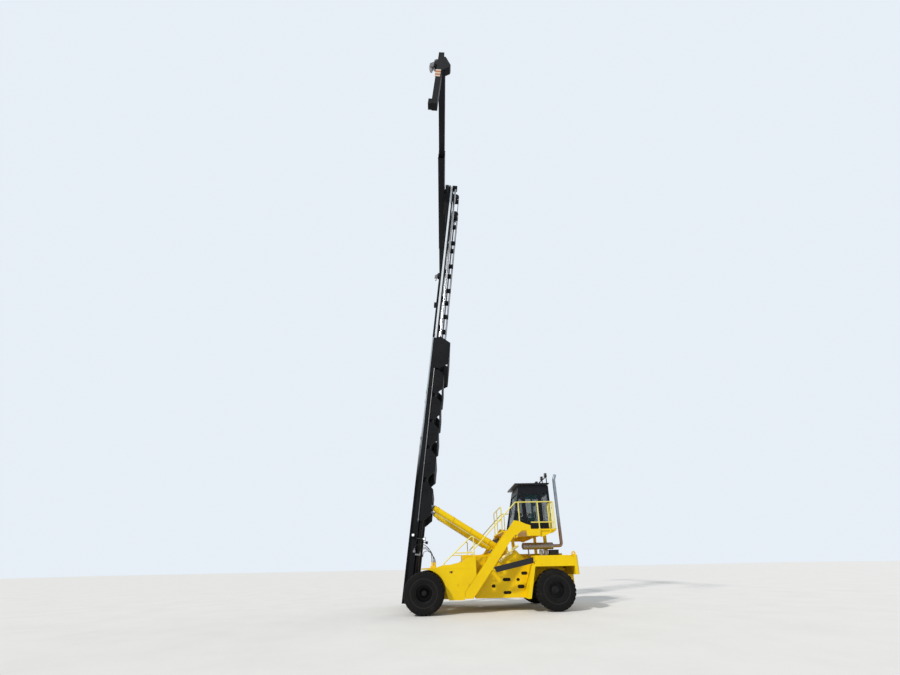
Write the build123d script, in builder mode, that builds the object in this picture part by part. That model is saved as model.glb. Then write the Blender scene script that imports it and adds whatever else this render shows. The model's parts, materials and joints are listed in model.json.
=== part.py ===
from build123d import *
from math import cos, radians, sin, tan
import os

os.makedirs("parts", exist_ok=True)

# Empty container handler: a four-wheeled machine with a two-stage mast at its nose and a
# telescopic side-lift spreader on the mast. Millimetres. +X is forward, +Y is the machine's
# left, +Z is up. The origin is on the ground under the middle of the machine's box.
# Heights are above the ground. Longitudinal places are measured from the front axle,
# forward positive, and lateral places from the machine's centre plane.

# Axles and wheels
wheelbase = 4710
tyre_od = 1440
tyre_width = 400
tyre_shoulder = 60
tyre_flats = 60
bead_d = 650
rim_wall = 22
hub_bore_r = 62
axle_z = tyre_od / 2
front_tyre_face = 2076
twin_gap = 60
rear_tyre_face = 1700
run = 0.3

# Steering
kingpin_y = 1230
kingpin_r = 45
knuckle_h = 230
fork_lug = 55
axle_saddle_z = 1010

# Mast
lean = 5.8
hinge_x = 360
hinge_z = 660
hinge_pin_r = 60
outer_front = 460
outer_depth = 300
outer_half = 1120
outer_flange_w = 140
flange_t = 40
web_t = 25
outer_low = -380
outer_high = 11200
inner_half = 965
inner_flange_w = 145
inner_depth = 260
inner_low = 10000
inner_high = 21430
lift_y = 985
lift_u = 75
lift_barrel_r = 80
lift_rod_r = 50
lift_low = 680
chain_y = 520
chain_u = -130
chain_w = 90
chain_t = 34
sheave_r = 180
sheave_drop = 140
chain_low = 10700
chain_room = 12
guide_t = 12

# Tilt cylinders
tilt_y = 900
tilt_base_x = -2850
tilt_base_z = 2220
tilt_pin_u = -143
tilt_pin_w = 3340
tilt_barrel_r = 115
tilt_rod_r = 55
tilt_pin_r = 42
tilt_eye_r = 95
tilt_eye_w = 122
tilt_gland = 2960
tilt_ear_t = 30
tilt_ear_gap = 6
tilt_drift = 5

# Rear cross members of the outer mast: lower edge, upper edge, how far back they reach
cross_members = [
    (tilt_pin_w - 700, tilt_pin_w + 860, -290),
    (4400, 5620, -290),
    (5780, 6830, -290),
    (6980, 8080, -290),
    (8240, 9440, -290),
    (9540, 11200, -440),
]
member_slope = 270
member_lip = 55
cheek_t = 28
cheek_y = 1087

# Chassis and body
girder_out = 670
girder_in = 400
girder_low = 470
girder_top = 1240
body_low = 450
side_y = 1700
side_in = 700
recess_y = 1150
arch_r = 770
arch_foot_x = -870
well_y = 1170
well_x = -300
shelf_front_x = 110
shelf_t = 40
tail_x = -5800
tail_corner_x = -5460
tail_cut_x = -5560
tail_half = 1150
keel_half = 640
keel_low = 620
tail_low = 1225
fender_low = 1520
fender_top = 1900
recess_x0 = -1870
recess_x1 = -3780
apron_top_x = -4020
hood_half = 620
hood_top = 1990
hood_x0 = -1450
hood_x1 = -5400
hood_step_x = -3840
hood_step_z = 1421
skin = 20
filler_depth = 25

# Lifting eyes
eye_y = 1250
eye_x = -5630
eye_r = 32
eye_t = 40
eye_out_r = 75
eye_z = 70

# Stairs
stair_in = 1190
stair_foot_x = -1730
stair_foot_z = 550
stair_pitch = 1.286
stringer_w = 400
stringer_t = 25
tread_count = 8
first_tread_z = 620
tread_depth = 240
tread_t = 34
stair_kick = 700

# Cab and its platform
deck_z = 2850
cab_half = 750
cab_floor = 2950
cab_roof_z = 4690
cab_front_low = -3490
cab_front_high = -3870
cab_rear = -5110
post = 70
sill_h = 280
head_drop = 290
door_x0 = -4030
door_x1 = -4700
door_gap = 8
glass_t = 8
glass_fit = 0.3
platform_front = -3360
platform_rear = -4980

# Spreader
beam_u = 700
beam_depth = 330
beam_low = 20960
tube_h = 270
tube_gap = 20
tube_wall = 14
beam_half = 2740
arm_reach = 6080
arm_tail = 1900
arm_slip = 6
end_post_w = 260
end_post_low = 18900
end_post_high = 22500
hook_w = 21430
casting_u = 1330
hook_pin_u = 1170
hook_pin_h = 420
hook_pin_r = 30
carriage_low = 19500
carriage_high = 21880
carriage_plate_y = 755
carriage_plate_t = 36

# Where the front axle stands, so that the origin is the middle of the machine's box
lean_cos = cos(radians(lean))
lean_sin = sin(radians(lean))
nose_x = hinge_x + outer_front * lean_cos - outer_low * lean_sin
front_axle_x = -(nose_x + tail_x) / 2
rear_axle = -wheelbase
inner_front = outer_front - flange_t + 20
inner_back = inner_front - inner_depth
outer_roller_r = outer_depth / 2 - flange_t - run
inner_roller_r = inner_depth / 2 - flange_t - run
up = Vector(-lean_sin, 0, lean_cos)
ahead = Vector(lean_cos, 0, lean_sin)
hinge = Vector(front_axle_x + hinge_x, 0, hinge_z)


def side(y):
    """Upright plane along the machine at y: local x forward, local y up, normal to the right."""
    return Plane(origin=(front_axle_x, y, 0), x_dir=(1, 0, 0), z_dir=(0, -1, 0))


def deck(z):
    """Level plane at a height: local x forward, local y to the left."""
    return Plane(origin=(front_axle_x, 0, z), x_dir=(1, 0, 0), z_dir=(0, 0, 1))


def cross(x):
    """Upright plane across the machine: local x to the left, local y up, normal forward."""
    return Plane(origin=(front_axle_x + x, 0, 0), x_dir=(0, 1, 0), z_dir=(1, 0, 0))


def mast_side(y):
    """Plane along the leaning mast at y: local x ahead of the hinge, local y up the mast."""
    return Plane(origin=hinge + Vector(0, y, 0), x_dir=ahead, z_dir=(0, -1, 0))


def mast_deck(w):
    """Plane square to the mast, w above the hinge: local x ahead, local y to the left."""
    return Plane(origin=hinge + up * w, x_dir=ahead, z_dir=up)


def mast_cross(u):
    """Plane across the mast, u ahead of the hinge: local x to the left, local y up the mast."""
    return Plane(origin=hinge + ahead * u, x_dir=(0, 1, 0), z_dir=ahead)


def stair_x(z):
    """Rear edge of the stringers at a height."""
    return stair_foot_x - (z - stair_foot_z) / stair_pitch


def plate(plane, points, thickness, mode=Mode.ADD, both=False):
    """A straight outline, as thick as given along the plane's normal."""
    with BuildSketch(plane, mode=Mode.PRIVATE) as outline:
        with BuildLine():
            Polyline(*points, close=True)
        make_face()
    extrude(outline.sketch, amount=thickness, both=both, mode=mode)


def block(plane, low, high, thickness, mode=Mode.ADD):
    """A rectangle given by two corners, as thick as given along the plane's normal."""
    (x0, y0), (x1, y1) = low, high
    plate(plane, [(x0, y0), (x1, y0), (x1, y1), (x0, y1)], thickness, mode)


def rod(plane, at, radius, length, mode=Mode.ADD):
    """A round bar that starts on a plane and runs along its normal."""
    with BuildSketch(plane, mode=Mode.PRIVATE) as outline:
        with Locations(at):
            Circle(radius)
    extrude(outline.sketch, amount=length, mode=mode)


def turned(x, z, points):
    """A body turned about a lateral axis at x, z: points are y and radius."""
    centre = Vector(front_axle_x + x, 0, z)
    half = Plane(origin=centre, x_dir=(0, 1, 0), z_dir=(1, 0, 0))
    with BuildSketch(half, mode=Mode.PRIVATE) as outline:
        with BuildLine():
            Polyline(*points, close=True)
        make_face()
    revolve(outline.sketch, axis=Axis(centre, (0, 1, 0)))


def tube_run(points, radius, bend):
    """A round tube along straight runs with tangent bends."""
    with BuildLine(mode=Mode.PRIVATE) as path:
        FilletPolyline(*points, radius=bend)
    start = path.line @ 0
    with BuildSketch(Plane(origin=start, z_dir=path.line % 0), mode=Mode.PRIVATE) as ring:
        Circle(radius)
    sweep(ring.sketch, path=path.line)


def keep(part, name):
    """Label a finished piece and write it."""
    part.label = name
    export_step(part, "parts/" + name + ".step")


def both_sides():
    return (("left", 1), ("right", -1))


# Tyres and rims. The front wheels are twins on one long rim.
def tyre(x, face, hand):
    """A tyre whose outer side is at face, in flats, the lowest of them level on the ground."""
    shoulder_r = tyre_od / 2 - tyre_shoulder
    sections = []
    for inward, radius in ((0, shoulder_r), (tyre_shoulder, tyre_od / 2),
                           (tyre_width - tyre_shoulder, tyre_od / 2), (tyre_width, shoulder_r)):
        at = Plane(origin=(front_axle_x + x, hand * (face - inward), axle_z), x_dir=(1, 0, 0),
                   z_dir=(0, -hand, 0))
        with BuildSketch(at, mode=Mode.PRIVATE) as outline:
            RegularPolygon(radius, tyre_flats, major_radius=False, rotation=180 / tyre_flats)
        sections.append(outline.sketch)
    loft(sections, ruled=True)
    outer_side = Plane(origin=(front_axle_x + x, hand * (face + 1), axle_z), x_dir=(1, 0, 0),
                       z_dir=(0, -hand, 0))
    with BuildSketch(outer_side, mode=Mode.PRIVATE) as bore:
        RegularPolygon(bead_d / 2, tyre_flats, major_radius=False, rotation=180 / tyre_flats)
    extrude(bore.sketch, amount=tyre_width + 2, mode=Mode.SUBTRACT)


def rim(x, outer, inner, disc, hand):
    """A flanged rim drum with its wheel disc and hub, bored for the spindle."""
    bead = bead_d / 2 - run
    hub_r = 170
    y0, y1, yd = hand * (outer - 24), hand * (inner + 24), hand * disc
    turned(x, axle_z, [
        (y0, bead - rim_wall), (y0, bead), (y1, bead), (y1, bead - rim_wall),
        (yd - hand * 20, bead - rim_wall), (yd - hand * 20, hub_r), (yd - hand * 60, hub_r),
        (yd - hand * 60, hub_bore_r), (yd + hand * 90, hub_bore_r), (yd + hand * 90, 110),
        (yd + hand * 60, hub_r), (yd + hand * 20, hub_r), (yd + hand * 20, bead - rim_wall)])


for hand_name, hand in both_sides():
    with BuildPart() as front_tyres:
        tyre(0, front_tyre_face, hand)
        tyre(0, front_tyre_face - tyre_width - twin_gap, hand)
    keep(front_tyres.part, "front_tyres_" + hand_name)

    with BuildPart() as front_rim:
        rim(0, front_tyre_face, front_tyre_face - 2 * tyre_width - twin_gap,
            front_tyre_face - tyre_width + 60, hand)
    keep(front_rim.part, "front_rim_" + hand_name)

    with BuildPart() as rear_tyre:
        tyre(rear_axle, rear_tyre_face, hand)
    keep(rear_tyre.part, "rear_tyre_" + hand_name)

    with BuildPart() as rear_rim:
        rim(rear_axle, rear_tyre_face, rear_tyre_face - tyre_width,
            rear_tyre_face - tyre_width / 2, hand)
    keep(rear_rim.part, "rear_rim_" + hand_name)

# Drive axle: a housing with a differential, and the ears and pins that carry the mast
spindle_r = hub_bore_r - run
with BuildPart() as front_axle:
    turned(0, axle_z, [(-1130, 0), (-1130, 225), (-1090, 225), (-1090, 150), (-420, 150),
                       (-300, 250), (-170, 320), (170, 320), (300, 250), (420, 150),
                       (1090, 150), (1090, 225), (1130, 225), (1130, 0)])
    disc_y = front_tyre_face - tyre_width + 60
    for y in (girder_in + 40, -girder_out + 40):
        block(cross(-110), (y, axle_z + 120), (y + girder_out - girder_in - 80, 1010), 220)
    for hand in (1, -1):
        turned(0, axle_z, [(hand * 1120, 0), (hand * 1120, spindle_r),
                           (hand * (disc_y + 80), spindle_r), (hand * (disc_y + 80), 0)])
        plate(side(hand * 895 + 35), [(-180, 640), (-60, 480), (300, 555), (400, 590),
                                      (445, 660), (410, 745), (300, 800), (-60, 960),
                                      (-180, 900)], 70)
        rod(side(hand * 1005 + 155), (hinge_x, hinge_z), hinge_pin_r - run, 310)
keep(front_axle.part, "front_axle")

# Steered axle: a box beam with forks, and the steering cylinder on its rear side
with BuildPart() as steer_axle:
    block(cross(rear_axle - 150), (-930, 590), (930, 850), 300)
    fork_z = (axle_z - knuckle_h / 2 - fork_lug, axle_z + knuckle_h / 2)
    for hand in (1, -1):
        for low in fork_z:
            with BuildSketch(deck(low), mode=Mode.PRIVATE) as lug:
                with BuildLine():
                    Polyline((rear_axle - 150, hand * 900), (rear_axle + 150, hand * 900),
                             (rear_axle + 80, hand * kingpin_y),
                             (rear_axle - 80, hand * kingpin_y), close=True)
                make_face()
                with Locations((rear_axle, hand * kingpin_y)):
                    Circle(80)
                    Circle(kingpin_r + run, mode=Mode.SUBTRACT)
            extrude(lug.sketch, amount=fork_lug)
    rod(side(520), (rear_axle - 215, axle_z), 62, 1040)
    rod(side(760), (rear_axle - 215, axle_z), 28, 1520)
    for y in (-500, 460):
        block(side(y + 40), (rear_axle - 260, 680), (rear_axle - 140, 760), 40)
    block(cross(rear_axle - 120), (-260, 830), (260, axle_saddle_z), 240)
keep(steer_axle.part, "steer_axle")

for hand_name, hand in both_sides():
    with BuildPart() as knuckle:
        low = axle_z - knuckle_h / 2
        rod(deck(low - fork_lug), (rear_axle, hand * kingpin_y), kingpin_r,
            knuckle_h + 2 * fork_lug)
        rod(deck(low + 5), (rear_axle, hand * kingpin_y), 82, knuckle_h - 10)
        turned(rear_axle, axle_z, [
            (hand * kingpin_y, 0), (hand * kingpin_y, 75), (hand * (kingpin_y + 90), 75),
            (hand * (kingpin_y + 90), 106), (hand * (kingpin_y + 130), 106),
            (hand * (kingpin_y + 130), spindle_r),
            (hand * (rear_tyre_face - tyre_width / 2 + 80), spindle_r),
            (hand * (rear_tyre_face - tyre_width / 2 + 80), 0)])
    keep(knuckle.part, "knuckle_" + hand_name)

# Main frame: two box girders, the middle boxes behind the stairs, the cross box that carries
# the tilt cylinders' ears, and the posts under the cab
ear_y = tilt_eye_w / 2 + tilt_ear_gap
gusset_t = 30
pocket_depth = 35
crease_x = -3320
# Access holes in the middle boxes: forward place, height, length, height of the hole
pockets = [
    (-2540, 860, 150, 120),
    (-3040, 1080, 300, 120),
    (-3470, 1070, 130, 110),
    (-3720, 1290, 240, 120),
    (-3040, 630, 300, 110),
    (-3560, 830, 260, 130),
]
with BuildPart() as chassis:
    for y in (girder_out, -girder_in):
        plate(side(y), [(140, 1010), (140, girder_top), (-3850, girder_top), (-4150, 1420),
                        (-5440, 1420), (-5440, 1020), (-4250, 1020), (-3900, girder_low),
                        (-900, girder_low), (-700, 1010)], girder_out - girder_in)
    for x in (-1200, -1950, -3700):
        block(cross(x), (-girder_in, girder_low + 60), (girder_in, girder_top - 60), 120)
    block(cross(-5400), (-girder_in, 1040), (girder_in, 1400), 160)
    block(cross(rear_axle - 120), (-girder_in, axle_saddle_z), (girder_in, 1200), 240)
    block(cross(-250), (-girder_in, 1060), (girder_in, 1220), 300)
    for y in (recess_y, -girder_out):
        plate(side(y), [(recess_x0, body_low), (recess_x0, 1850), (-2550, 1930), (-3150, 1930),
                        (-3720, 1850), (-4000, 1650), (-4000, 1430), (recess_x1, body_low)],
              recess_y - girder_out)
    for hand in (1, -1):
        gusset = hand * recess_y if hand > 0 else -recess_y + gusset_t
        plate(side(gusset), [(-3100, 1900), (-3150, 1930), (-3260, 1990), (-3470, 2120),
                             (-3720, 1850), (-3600, 1800)], gusset_t)
        face = hand * (recess_y + 1) if hand > 0 else hand * (recess_y - pocket_depth)
        for x, z, length, height in pockets:
            with BuildSketch(side(face), mode=Mode.PRIVATE) as pocket:
                with Locations((x, z)):
                    SlotOverall(length, height)
            extrude(pocket.sketch, amount=pocket_depth + 1, mode=Mode.SUBTRACT)
        block(side(face), (crease_x - 5, body_low - 10), (crease_x + 5, 1800), 7, Mode.SUBTRACT)
    for hand in (1, -1):
        for y in (tilt_y + ear_y + tilt_ear_t, tilt_y - ear_y):
            top = hand * y if hand > 0 else hand * y + tilt_ear_t
            with BuildSketch(side(top), mode=Mode.PRIVATE) as ear:
                with BuildLine():
                    Polyline((-2600, 1900), (-2700, 2180), (-2780, 2340), (-2950, 2390),
                             (-3090, 2300), (-3140, 1900), close=True)
                make_face()
                with Locations((tilt_base_x, tilt_base_z)):
                    Circle(tilt_pin_r + run, mode=Mode.SUBTRACT)
            extrude(ear.sketch, amount=tilt_ear_t)
keep(chassis.part, "chassis_frame")

# Front side tanks with the wheel arch, the shelf over the front wheel and its hose ports
shelf_low = axle_z + arch_r
shelf_top = shelf_low + shelf_t
notch_x = stair_x(stair_kick) + stringer_w + 12
notch_z = stair_kick + (notch_x - recess_x0) * stair_pitch
port_top = 1750
port_x = (-258, -350)
port_y = (1150, 1100)
port_r = 24
for hand_name, hand in both_sides():
    with BuildPart() as front_tank:
        start = hand * side_y if hand > 0 else -side_in
        width = side_y - side_in
        with BuildSketch(side(start), mode=Mode.PRIVATE) as outline:
            with BuildLine():
                Polyline((shelf_front_x, shelf_low), (shelf_front_x, shelf_top), (-311, shelf_top),
                         (-417, 1543), (-657, 1626), (-975, 1645), (-1404, 1738), (-1597, 1880),
                         (recess_x0, 1905), (recess_x0, notch_z), (notch_x, stair_kick),
                         (notch_x, body_low), (arch_foot_x, body_low), (-arch_r, axle_z))
                RadiusArc((-arch_r, axle_z), (0, shelf_low), arch_r)
                Line((0, shelf_low), (shelf_front_x, shelf_low))
            make_face()
        extrude(outline.sketch, amount=width)
        well = hand * well_y if hand > 0 else -side_in
        plate(side(well), [(well_x, body_low), (well_x, shelf_low + 5), (-900, shelf_low + 5),
                           (-900, body_low)], well_y - side_in)
        face = side_y + 1 if hand > 0 else -side_y + filler_depth
        block(side(face), (-1040, 1340), (-900, 1420), filler_depth + 1, Mode.SUBTRACT)
        block(side(side_y + 1 if hand > 0 else -side_y + 6), (-1780, 1494), (-710, 1504), 7,
              Mode.SUBTRACT)
        low = min(hand * port_y[1], hand * port_y[0]) - 50
        block(deck(shelf_top - 5), (-390, low), (-200, low + 150), 75)
        for x, y in zip(port_x, port_y):
            rod(deck(shelf_top), (x, hand * y), port_r, port_top - shelf_top)
    keep(front_tank.part, "front_tank_" + hand_name)

# Rear mudguards: a boxed shelf over each steered wheel with a front apron
for hand_name, hand in both_sides():
    with BuildPart() as mudguard:
        start = hand * side_y if hand > 0 else -side_in
        plate(side(start), [(-4010, fender_low), (-4040, fender_top), (-5280, fender_top),
                            (tail_corner_x, 1800), (tail_corner_x, fender_low)],
              side_y - side_in)
        apron = hand * side_y if hand > 0 else -recess_y
        plate(side(apron), [(recess_x1, body_low), (apron_top_x, fender_low),
                            (apron_top_x - 40, fender_low), (apron_top_x - 40, fender_low + 90),
                            (apron_top_x + 120, fender_low + 60), (recess_x1 + 120, body_low)],
              side_y - recess_y)
    keep(mudguard.part, "mudguard_" + hand_name)

# Counterweight: a slab across the tail with rounded corners, a keel between the wheels and a
# louvred air outlet in the tail
outlet_half, outlet_low, outlet_high, outlet_depth = 430, 1330, 1760, 90
louvre_count = 7
with BuildPart() as counterweight:
    with BuildSketch(deck(tail_low), mode=Mode.PRIVATE) as plan:
        with BuildLine():
            Polyline((tail_corner_x, side_y), (tail_corner_x, -side_y), (tail_cut_x, -side_y),
                     (tail_x, -tail_half), (tail_x, tail_half), (tail_cut_x, side_y), close=True)
        make_face()
    extrude(plan.sketch, amount=fender_top - tail_low)
    block(deck(keel_low), (tail_x + 60, -keel_half), (tail_corner_x, keel_half), tail_low - keel_low + 5)
    fillet(counterweight.edges().filter_by(Axis.Z).group_by(Axis.X)[0], radius=150)
    block(cross(tail_x - 1), (-outlet_half, outlet_low), (outlet_half, outlet_high),
          outlet_depth + 1, Mode.SUBTRACT)
    louvre_pitch = (outlet_high - outlet_low) / louvre_count
    for i in range(louvre_count):
        z = outlet_low + i * louvre_pitch
        plate(side(outlet_half + 5), [(tail_x + 10, z + 8), (tail_x + 10, z + 20),
                                      (tail_x + outlet_depth + 5, z + 52),
                                      (tail_x + outlet_depth + 5, z + 40)], 2 * outlet_half + 10)
    for y in (-eye_y, eye_y):
        with BuildSketch(side(y + eye_t / 2), mode=Mode.PRIVATE) as eye:
            with Locations((eye_x, fender_top + eye_z / 2)):
                Rectangle(2 * eye_out_r, eye_z)
            with Locations((eye_x, fender_top + eye_z)):
                Circle(eye_out_r)
                Circle(eye_r, mode=Mode.SUBTRACT)
        extrude(eye.sketch, amount=eye_t)
keep(counterweight.part, "counterweight")

# Engine cover, open below, and the engine inside it
with BuildPart() as hood:
    plate(side(hood_half), [(hood_x0, girder_top), (hood_x0, hood_top), (hood_x1, hood_top),
                            (hood_x1, hood_step_z), (hood_step_x - 302, hood_step_z),
                            (hood_step_x, girder_top)], 2 * hood_half)
    plate(side(hood_half - skin), [
        (hood_x0 - skin, girder_top - 10), (hood_x0 - skin, hood_top - skin),
        (hood_x1 + skin, hood_top - skin), (hood_x1 + skin, hood_step_z - 10),
        (hood_step_x - 302, hood_step_z - 10), (hood_step_x, girder_top - 10)],
        2 * (hood_half - skin), Mode.SUBTRACT)
    for x in (-1900, -2350, -4500):
        for z in range(1560, 1861, 60):
            for y in (hood_half + 1, -hood_half + skin + 1):
                block(side(y), (x - 170, z), (x + 170, z + 24), skin + 2, Mode.SUBTRACT)
keep(hood.part, "engine_hood")

with BuildPart() as engine:
    block(deck(700), (-3500, -380), (-2150, 380), 1100)
    for x in (-3400, -2350):
        block(cross(x), (-girder_in, 1000), (girder_in, 1080), 120)
keep(engine.part, "engine_block")

# Exhaust: a silencer under the platform, held by two straps, and a stack behind the cab
silencer_x0, silencer_x1 = -3730, -4940
silencer_y, silencer_z, silencer_r = 1080, 2260, 100
silencer_dome = 30
strap_x = (-3970, -4570)
strap_t, strap_w = 6, 40
with BuildPart() as silencer:
    rod(cross(silencer_x1 + silencer_dome), (silencer_y, silencer_z), silencer_r,
        silencer_x0 - silencer_x1 - 2 * silencer_dome)
    rod(cross(silencer_x1), (silencer_y, silencer_z), silencer_r - silencer_dome,
        silencer_x0 - silencer_x1)
    for x in strap_x:
        rod(cross(x - strap_w / 2), (silencer_y, silencer_z), silencer_r + strap_t, strap_w)
        block(cross(x - strap_w / 2), (silencer_y - 30, fender_top),
              (silencer_y + 30, silencer_z - 60), strap_w)
keep(silencer.part, "silencer")

stack_x, stack_r, stack_bend, stack_tip = -5270, 60, 4860, 5070
with BuildPart() as stack:
    tube_run([(front_axle_x + silencer_x1 - run, silencer_y, silencer_z),
              (front_axle_x + stack_x, silencer_y, silencer_z),
              (front_axle_x + stack_x, silencer_y, stack_bend),
              (front_axle_x + stack_x - 70, silencer_y, stack_tip)], stack_r, 95)
keep(stack.part, "exhaust_stack")

# Stairs up to the platform on both sides
tread_rise = (deck_z - first_tread_z) / tread_count
stair_head_z = stair_foot_z + (stair_foot_x - platform_front) * stair_pitch
with BuildPart() as stairs:
    for hand in (1, -1):
        for y, head_z in ((side_y, 3150), (stair_in + stringer_t, deck_z - 30)):
            start = hand * y if hand > 0 else hand * y + stringer_t
            plate(side(start), [
                (stair_x(stair_foot_z), body_low + 40),
                (stair_x(stair_kick) + stringer_w, body_low + 40),
                (stair_x(stair_kick) + stringer_w, stair_kick),
                (max(stair_x(head_z) + stringer_w, platform_front), head_z),
                (platform_front, head_z), (platform_front, stair_head_z)], stringer_t)
        low = min(hand * (stair_in + stringer_t), hand * (side_y - stringer_t))
        for i in range(tread_count):
            z = first_tread_z + i * tread_rise
            x = stair_x(z) + stringer_w / 2
            tread_w = side_y - stair_in - 2 * stringer_t
            middle = Plane(origin=(front_axle_x + x, low + tread_w / 2, z - tread_t))
            with BuildSketch(middle, mode=Mode.PRIVATE) as tread:
                Rectangle(tread_depth, tread_w)
                with GridLocations(tread_depth / 2 - 10, tread_w / 4 - 3, 2, 4):
                    Rectangle(tread_depth / 2 - 35, tread_w / 4 - 28, mode=Mode.SUBTRACT)
            extrude(tread.sketch, amount=tread_t)
keep(stairs.part, "stairs")

# Platform under and around the cab, its side panels and the frame behind them
cab_foot = 100
with BuildPart() as platform:
    block(deck(deck_z - 60), (platform_rear + 30, -side_y + 30),
          (platform_front - 100, side_y - 30), 60)
    block(deck(deck_z - 60), (platform_front - 100, -stair_in), (-2990, stair_in), 60)
    block(deck(deck_z - 60), (cab_rear - 20, -cab_half), (platform_rear + 60, cab_half), 60)
    for y, inner_y in ((side_y, side_y - 60), (-side_y + 30, -side_y + 90)):
        plate(side(y), [(platform_front, stair_head_z), (platform_front, 3182), (-3582, 3146),
                        (-3790, 3047), (-3980, 2991), (-3988, deck_z), (-4354, deck_z - 14),
                        (-4317, 2600), (-3824, 2606), (-3821, deck_z - 46),
                        (-3639, deck_z - 43), (-3452, 2644)], 30)
        plate(side(inner_y), [(-4300, deck_z - 30), (-4300, 2590), (-4390, 2555),
                              (-4870, 2740), (-4930, 2775), (-4930, deck_z - 30)], 30)
    for x, drop in ((-3480, 290), (-4760, 140)):
        block(cross(x), (-side_y + 30, deck_z - drop), (side_y - 30, deck_z - 60), 60)
    for x, low in ((-3500, 1896), (-4780, fender_top)):
        for y in (-850, 730):
            block(cross(x), (y, low), (y + 120, deck_z - 60), 100)
    block(deck(deck_z), (cab_rear + cab_foot, -cab_half + 60),
          (cab_front_low - cab_foot, cab_half - 60), cab_floor - deck_z)
keep(platform.part, "cab_platform")

# Handrails: bent tubes along the stairs and round the platform, a guard rail ahead of the cab
# and a pale duct on the left
rail_r = 21
rail_y = side_y - 30 - rail_r - 1
rail_top = 3870
rail_foot_x = -1820
rail_rear_x = platform_rear + 50
rail_in_y = 950
guard_x = -3050
duct_y, duct_r = 1200, 38
with BuildPart() as railings:
    x0 = front_axle_x
    for hand in (1, -1):
        y = hand * rail_y
        tube_run([(x0 + rail_foot_x, y, 2160), (x0 - 3488, y, rail_top),
                  (x0 + rail_rear_x, y, rail_top), (x0 + rail_rear_x, hand * rail_in_y, rail_top),
                  (x0 + rail_rear_x, hand * rail_in_y, deck_z)], rail_r, 60)
        tube_run([(x0 - 720, y, 1632), (x0 - 720, y, 1700), (x0 - 1720, y, 2610),
                  (x0 + rail_foot_x, y, 2610), (x0 + rail_foot_x, y, 1906)], rail_r, 40)
        rod(cross(rail_foot_x), (y, 2045), rail_r, 740)
        for x in (-3600, -4335, rail_rear_x):
            rod(deck(deck_z), (x, y), rail_r, rail_top - deck_z)
        rod(cross(rail_rear_x), (y, deck_z + 250), rail_r, 900)
        for share in (0.25, 0.5, 0.75):
            post_y = hand * (rail_in_y + share * (rail_y - rail_in_y))
            rod(deck(deck_z), (rail_rear_x, post_y), rail_r - 6, rail_top - deck_z)
    tube_run([(x0 + guard_x, 840, deck_z), (x0 + guard_x, 840, 3830),
              (x0 + guard_x, -1150, 3830), (x0 + guard_x, -1150, deck_z)], rail_r, 60)
    rod(deck(deck_z), (guard_x, -320), rail_r, 3830 - deck_z)
    rod(side(840), (guard_x, 3330), rail_r, 1990)
    tube_run([(x0 - 2810, duct_y, 1700), (x0 - 2890, duct_y, 1800),
              (x0 - 3550, duct_y, 2300)], duct_r, 120)
    for x, z in ((-2850, 1750), (-3000, 1883)):
        block(side(duct_y - duct_r + 8), (x - 20, z - 20), (x + 20, z + 20),
              duct_y - duct_r + 8 - recess_y - run)
keep(railings.part, "railings")

# Cab: floor pan, posts and lower panels, closed by the roof; the door and glass are apart
cab_in = cab_half - post
slant = (cab_front_high - cab_front_low) / (cab_roof_z - cab_floor)


def cab_front(z):
    """Front edge of the cab's side at a height."""
    return cab_front_low + (z - cab_floor) * slant


cab_sill = cab_floor + sill_h
cab_head = cab_roof_z - head_drop
pan_t = 40
with BuildPart() as cab:
    plate(side(cab_half), [(cab_front(cab_floor), cab_floor), (cab_front(cab_roof_z), cab_roof_z),
                           (cab_rear, cab_roof_z), (cab_rear, cab_floor)], 2 * cab_half)
    plate(side(cab_in), [(cab_front(cab_floor + pan_t) - post, cab_floor + pan_t),
                         (cab_front(cab_roof_z - pan_t) - post, cab_roof_z - pan_t),
                         (cab_rear + post, cab_roof_z - pan_t), (cab_rear + post, cab_floor + pan_t)],
          2 * cab_in, Mode.SUBTRACT)
    # side windows: the front quarters, the doorways and the rear quarters
    plate(side(cab_half + 10), [(cab_front(cab_sill) - post, cab_sill),
                                (cab_front(cab_head) - post, cab_head),
                                (door_x0 + post, cab_head), (door_x0 + post, cab_sill)],
          2 * cab_half + 20, Mode.SUBTRACT)
    block(side(cab_half + 10), (door_x1 - post, cab_sill), (cab_rear + post, cab_head),
          2 * cab_half + 20, Mode.SUBTRACT)
    block(side(cab_half + 10), (door_x1, cab_floor + 60), (door_x0, cab_head),
          post + 20, Mode.SUBTRACT)
    block(side(-cab_in + 10), (door_x1, cab_sill), (door_x0, cab_head), post + 20,
          Mode.SUBTRACT)
    # windscreen and rear window
    block(cross(cab_front_high - 150), (-cab_in + 20, cab_floor + 90), (cab_in - 20, cab_head),
          cab_front_low - cab_front_high + 200, Mode.SUBTRACT)
    block(cross(cab_rear - 10), (-cab_in + 20, cab_sill), (cab_in - 20, cab_head), post + 20,
          Mode.SUBTRACT)
keep(cab.part, "cab_shell")

roof_riser = 50
roof_slab_t = 50
roof_out = 100
roof_front = -3700
roof_rear = cab_rear - 20
roof_top = cab_roof_z + roof_riser + roof_slab_t
with BuildPart() as cab_roof:
    block(deck(cab_roof_z), (cab_rear + 60, -cab_half + 40), (cab_front_high - 60, cab_half - 40),
          roof_riser)
    block(deck(cab_roof_z + roof_riser), (roof_rear, -cab_half - roof_out),
          (roof_front, cab_half + roof_out), roof_slab_t)
keep(cab_roof.part, "cab_roof")

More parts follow.
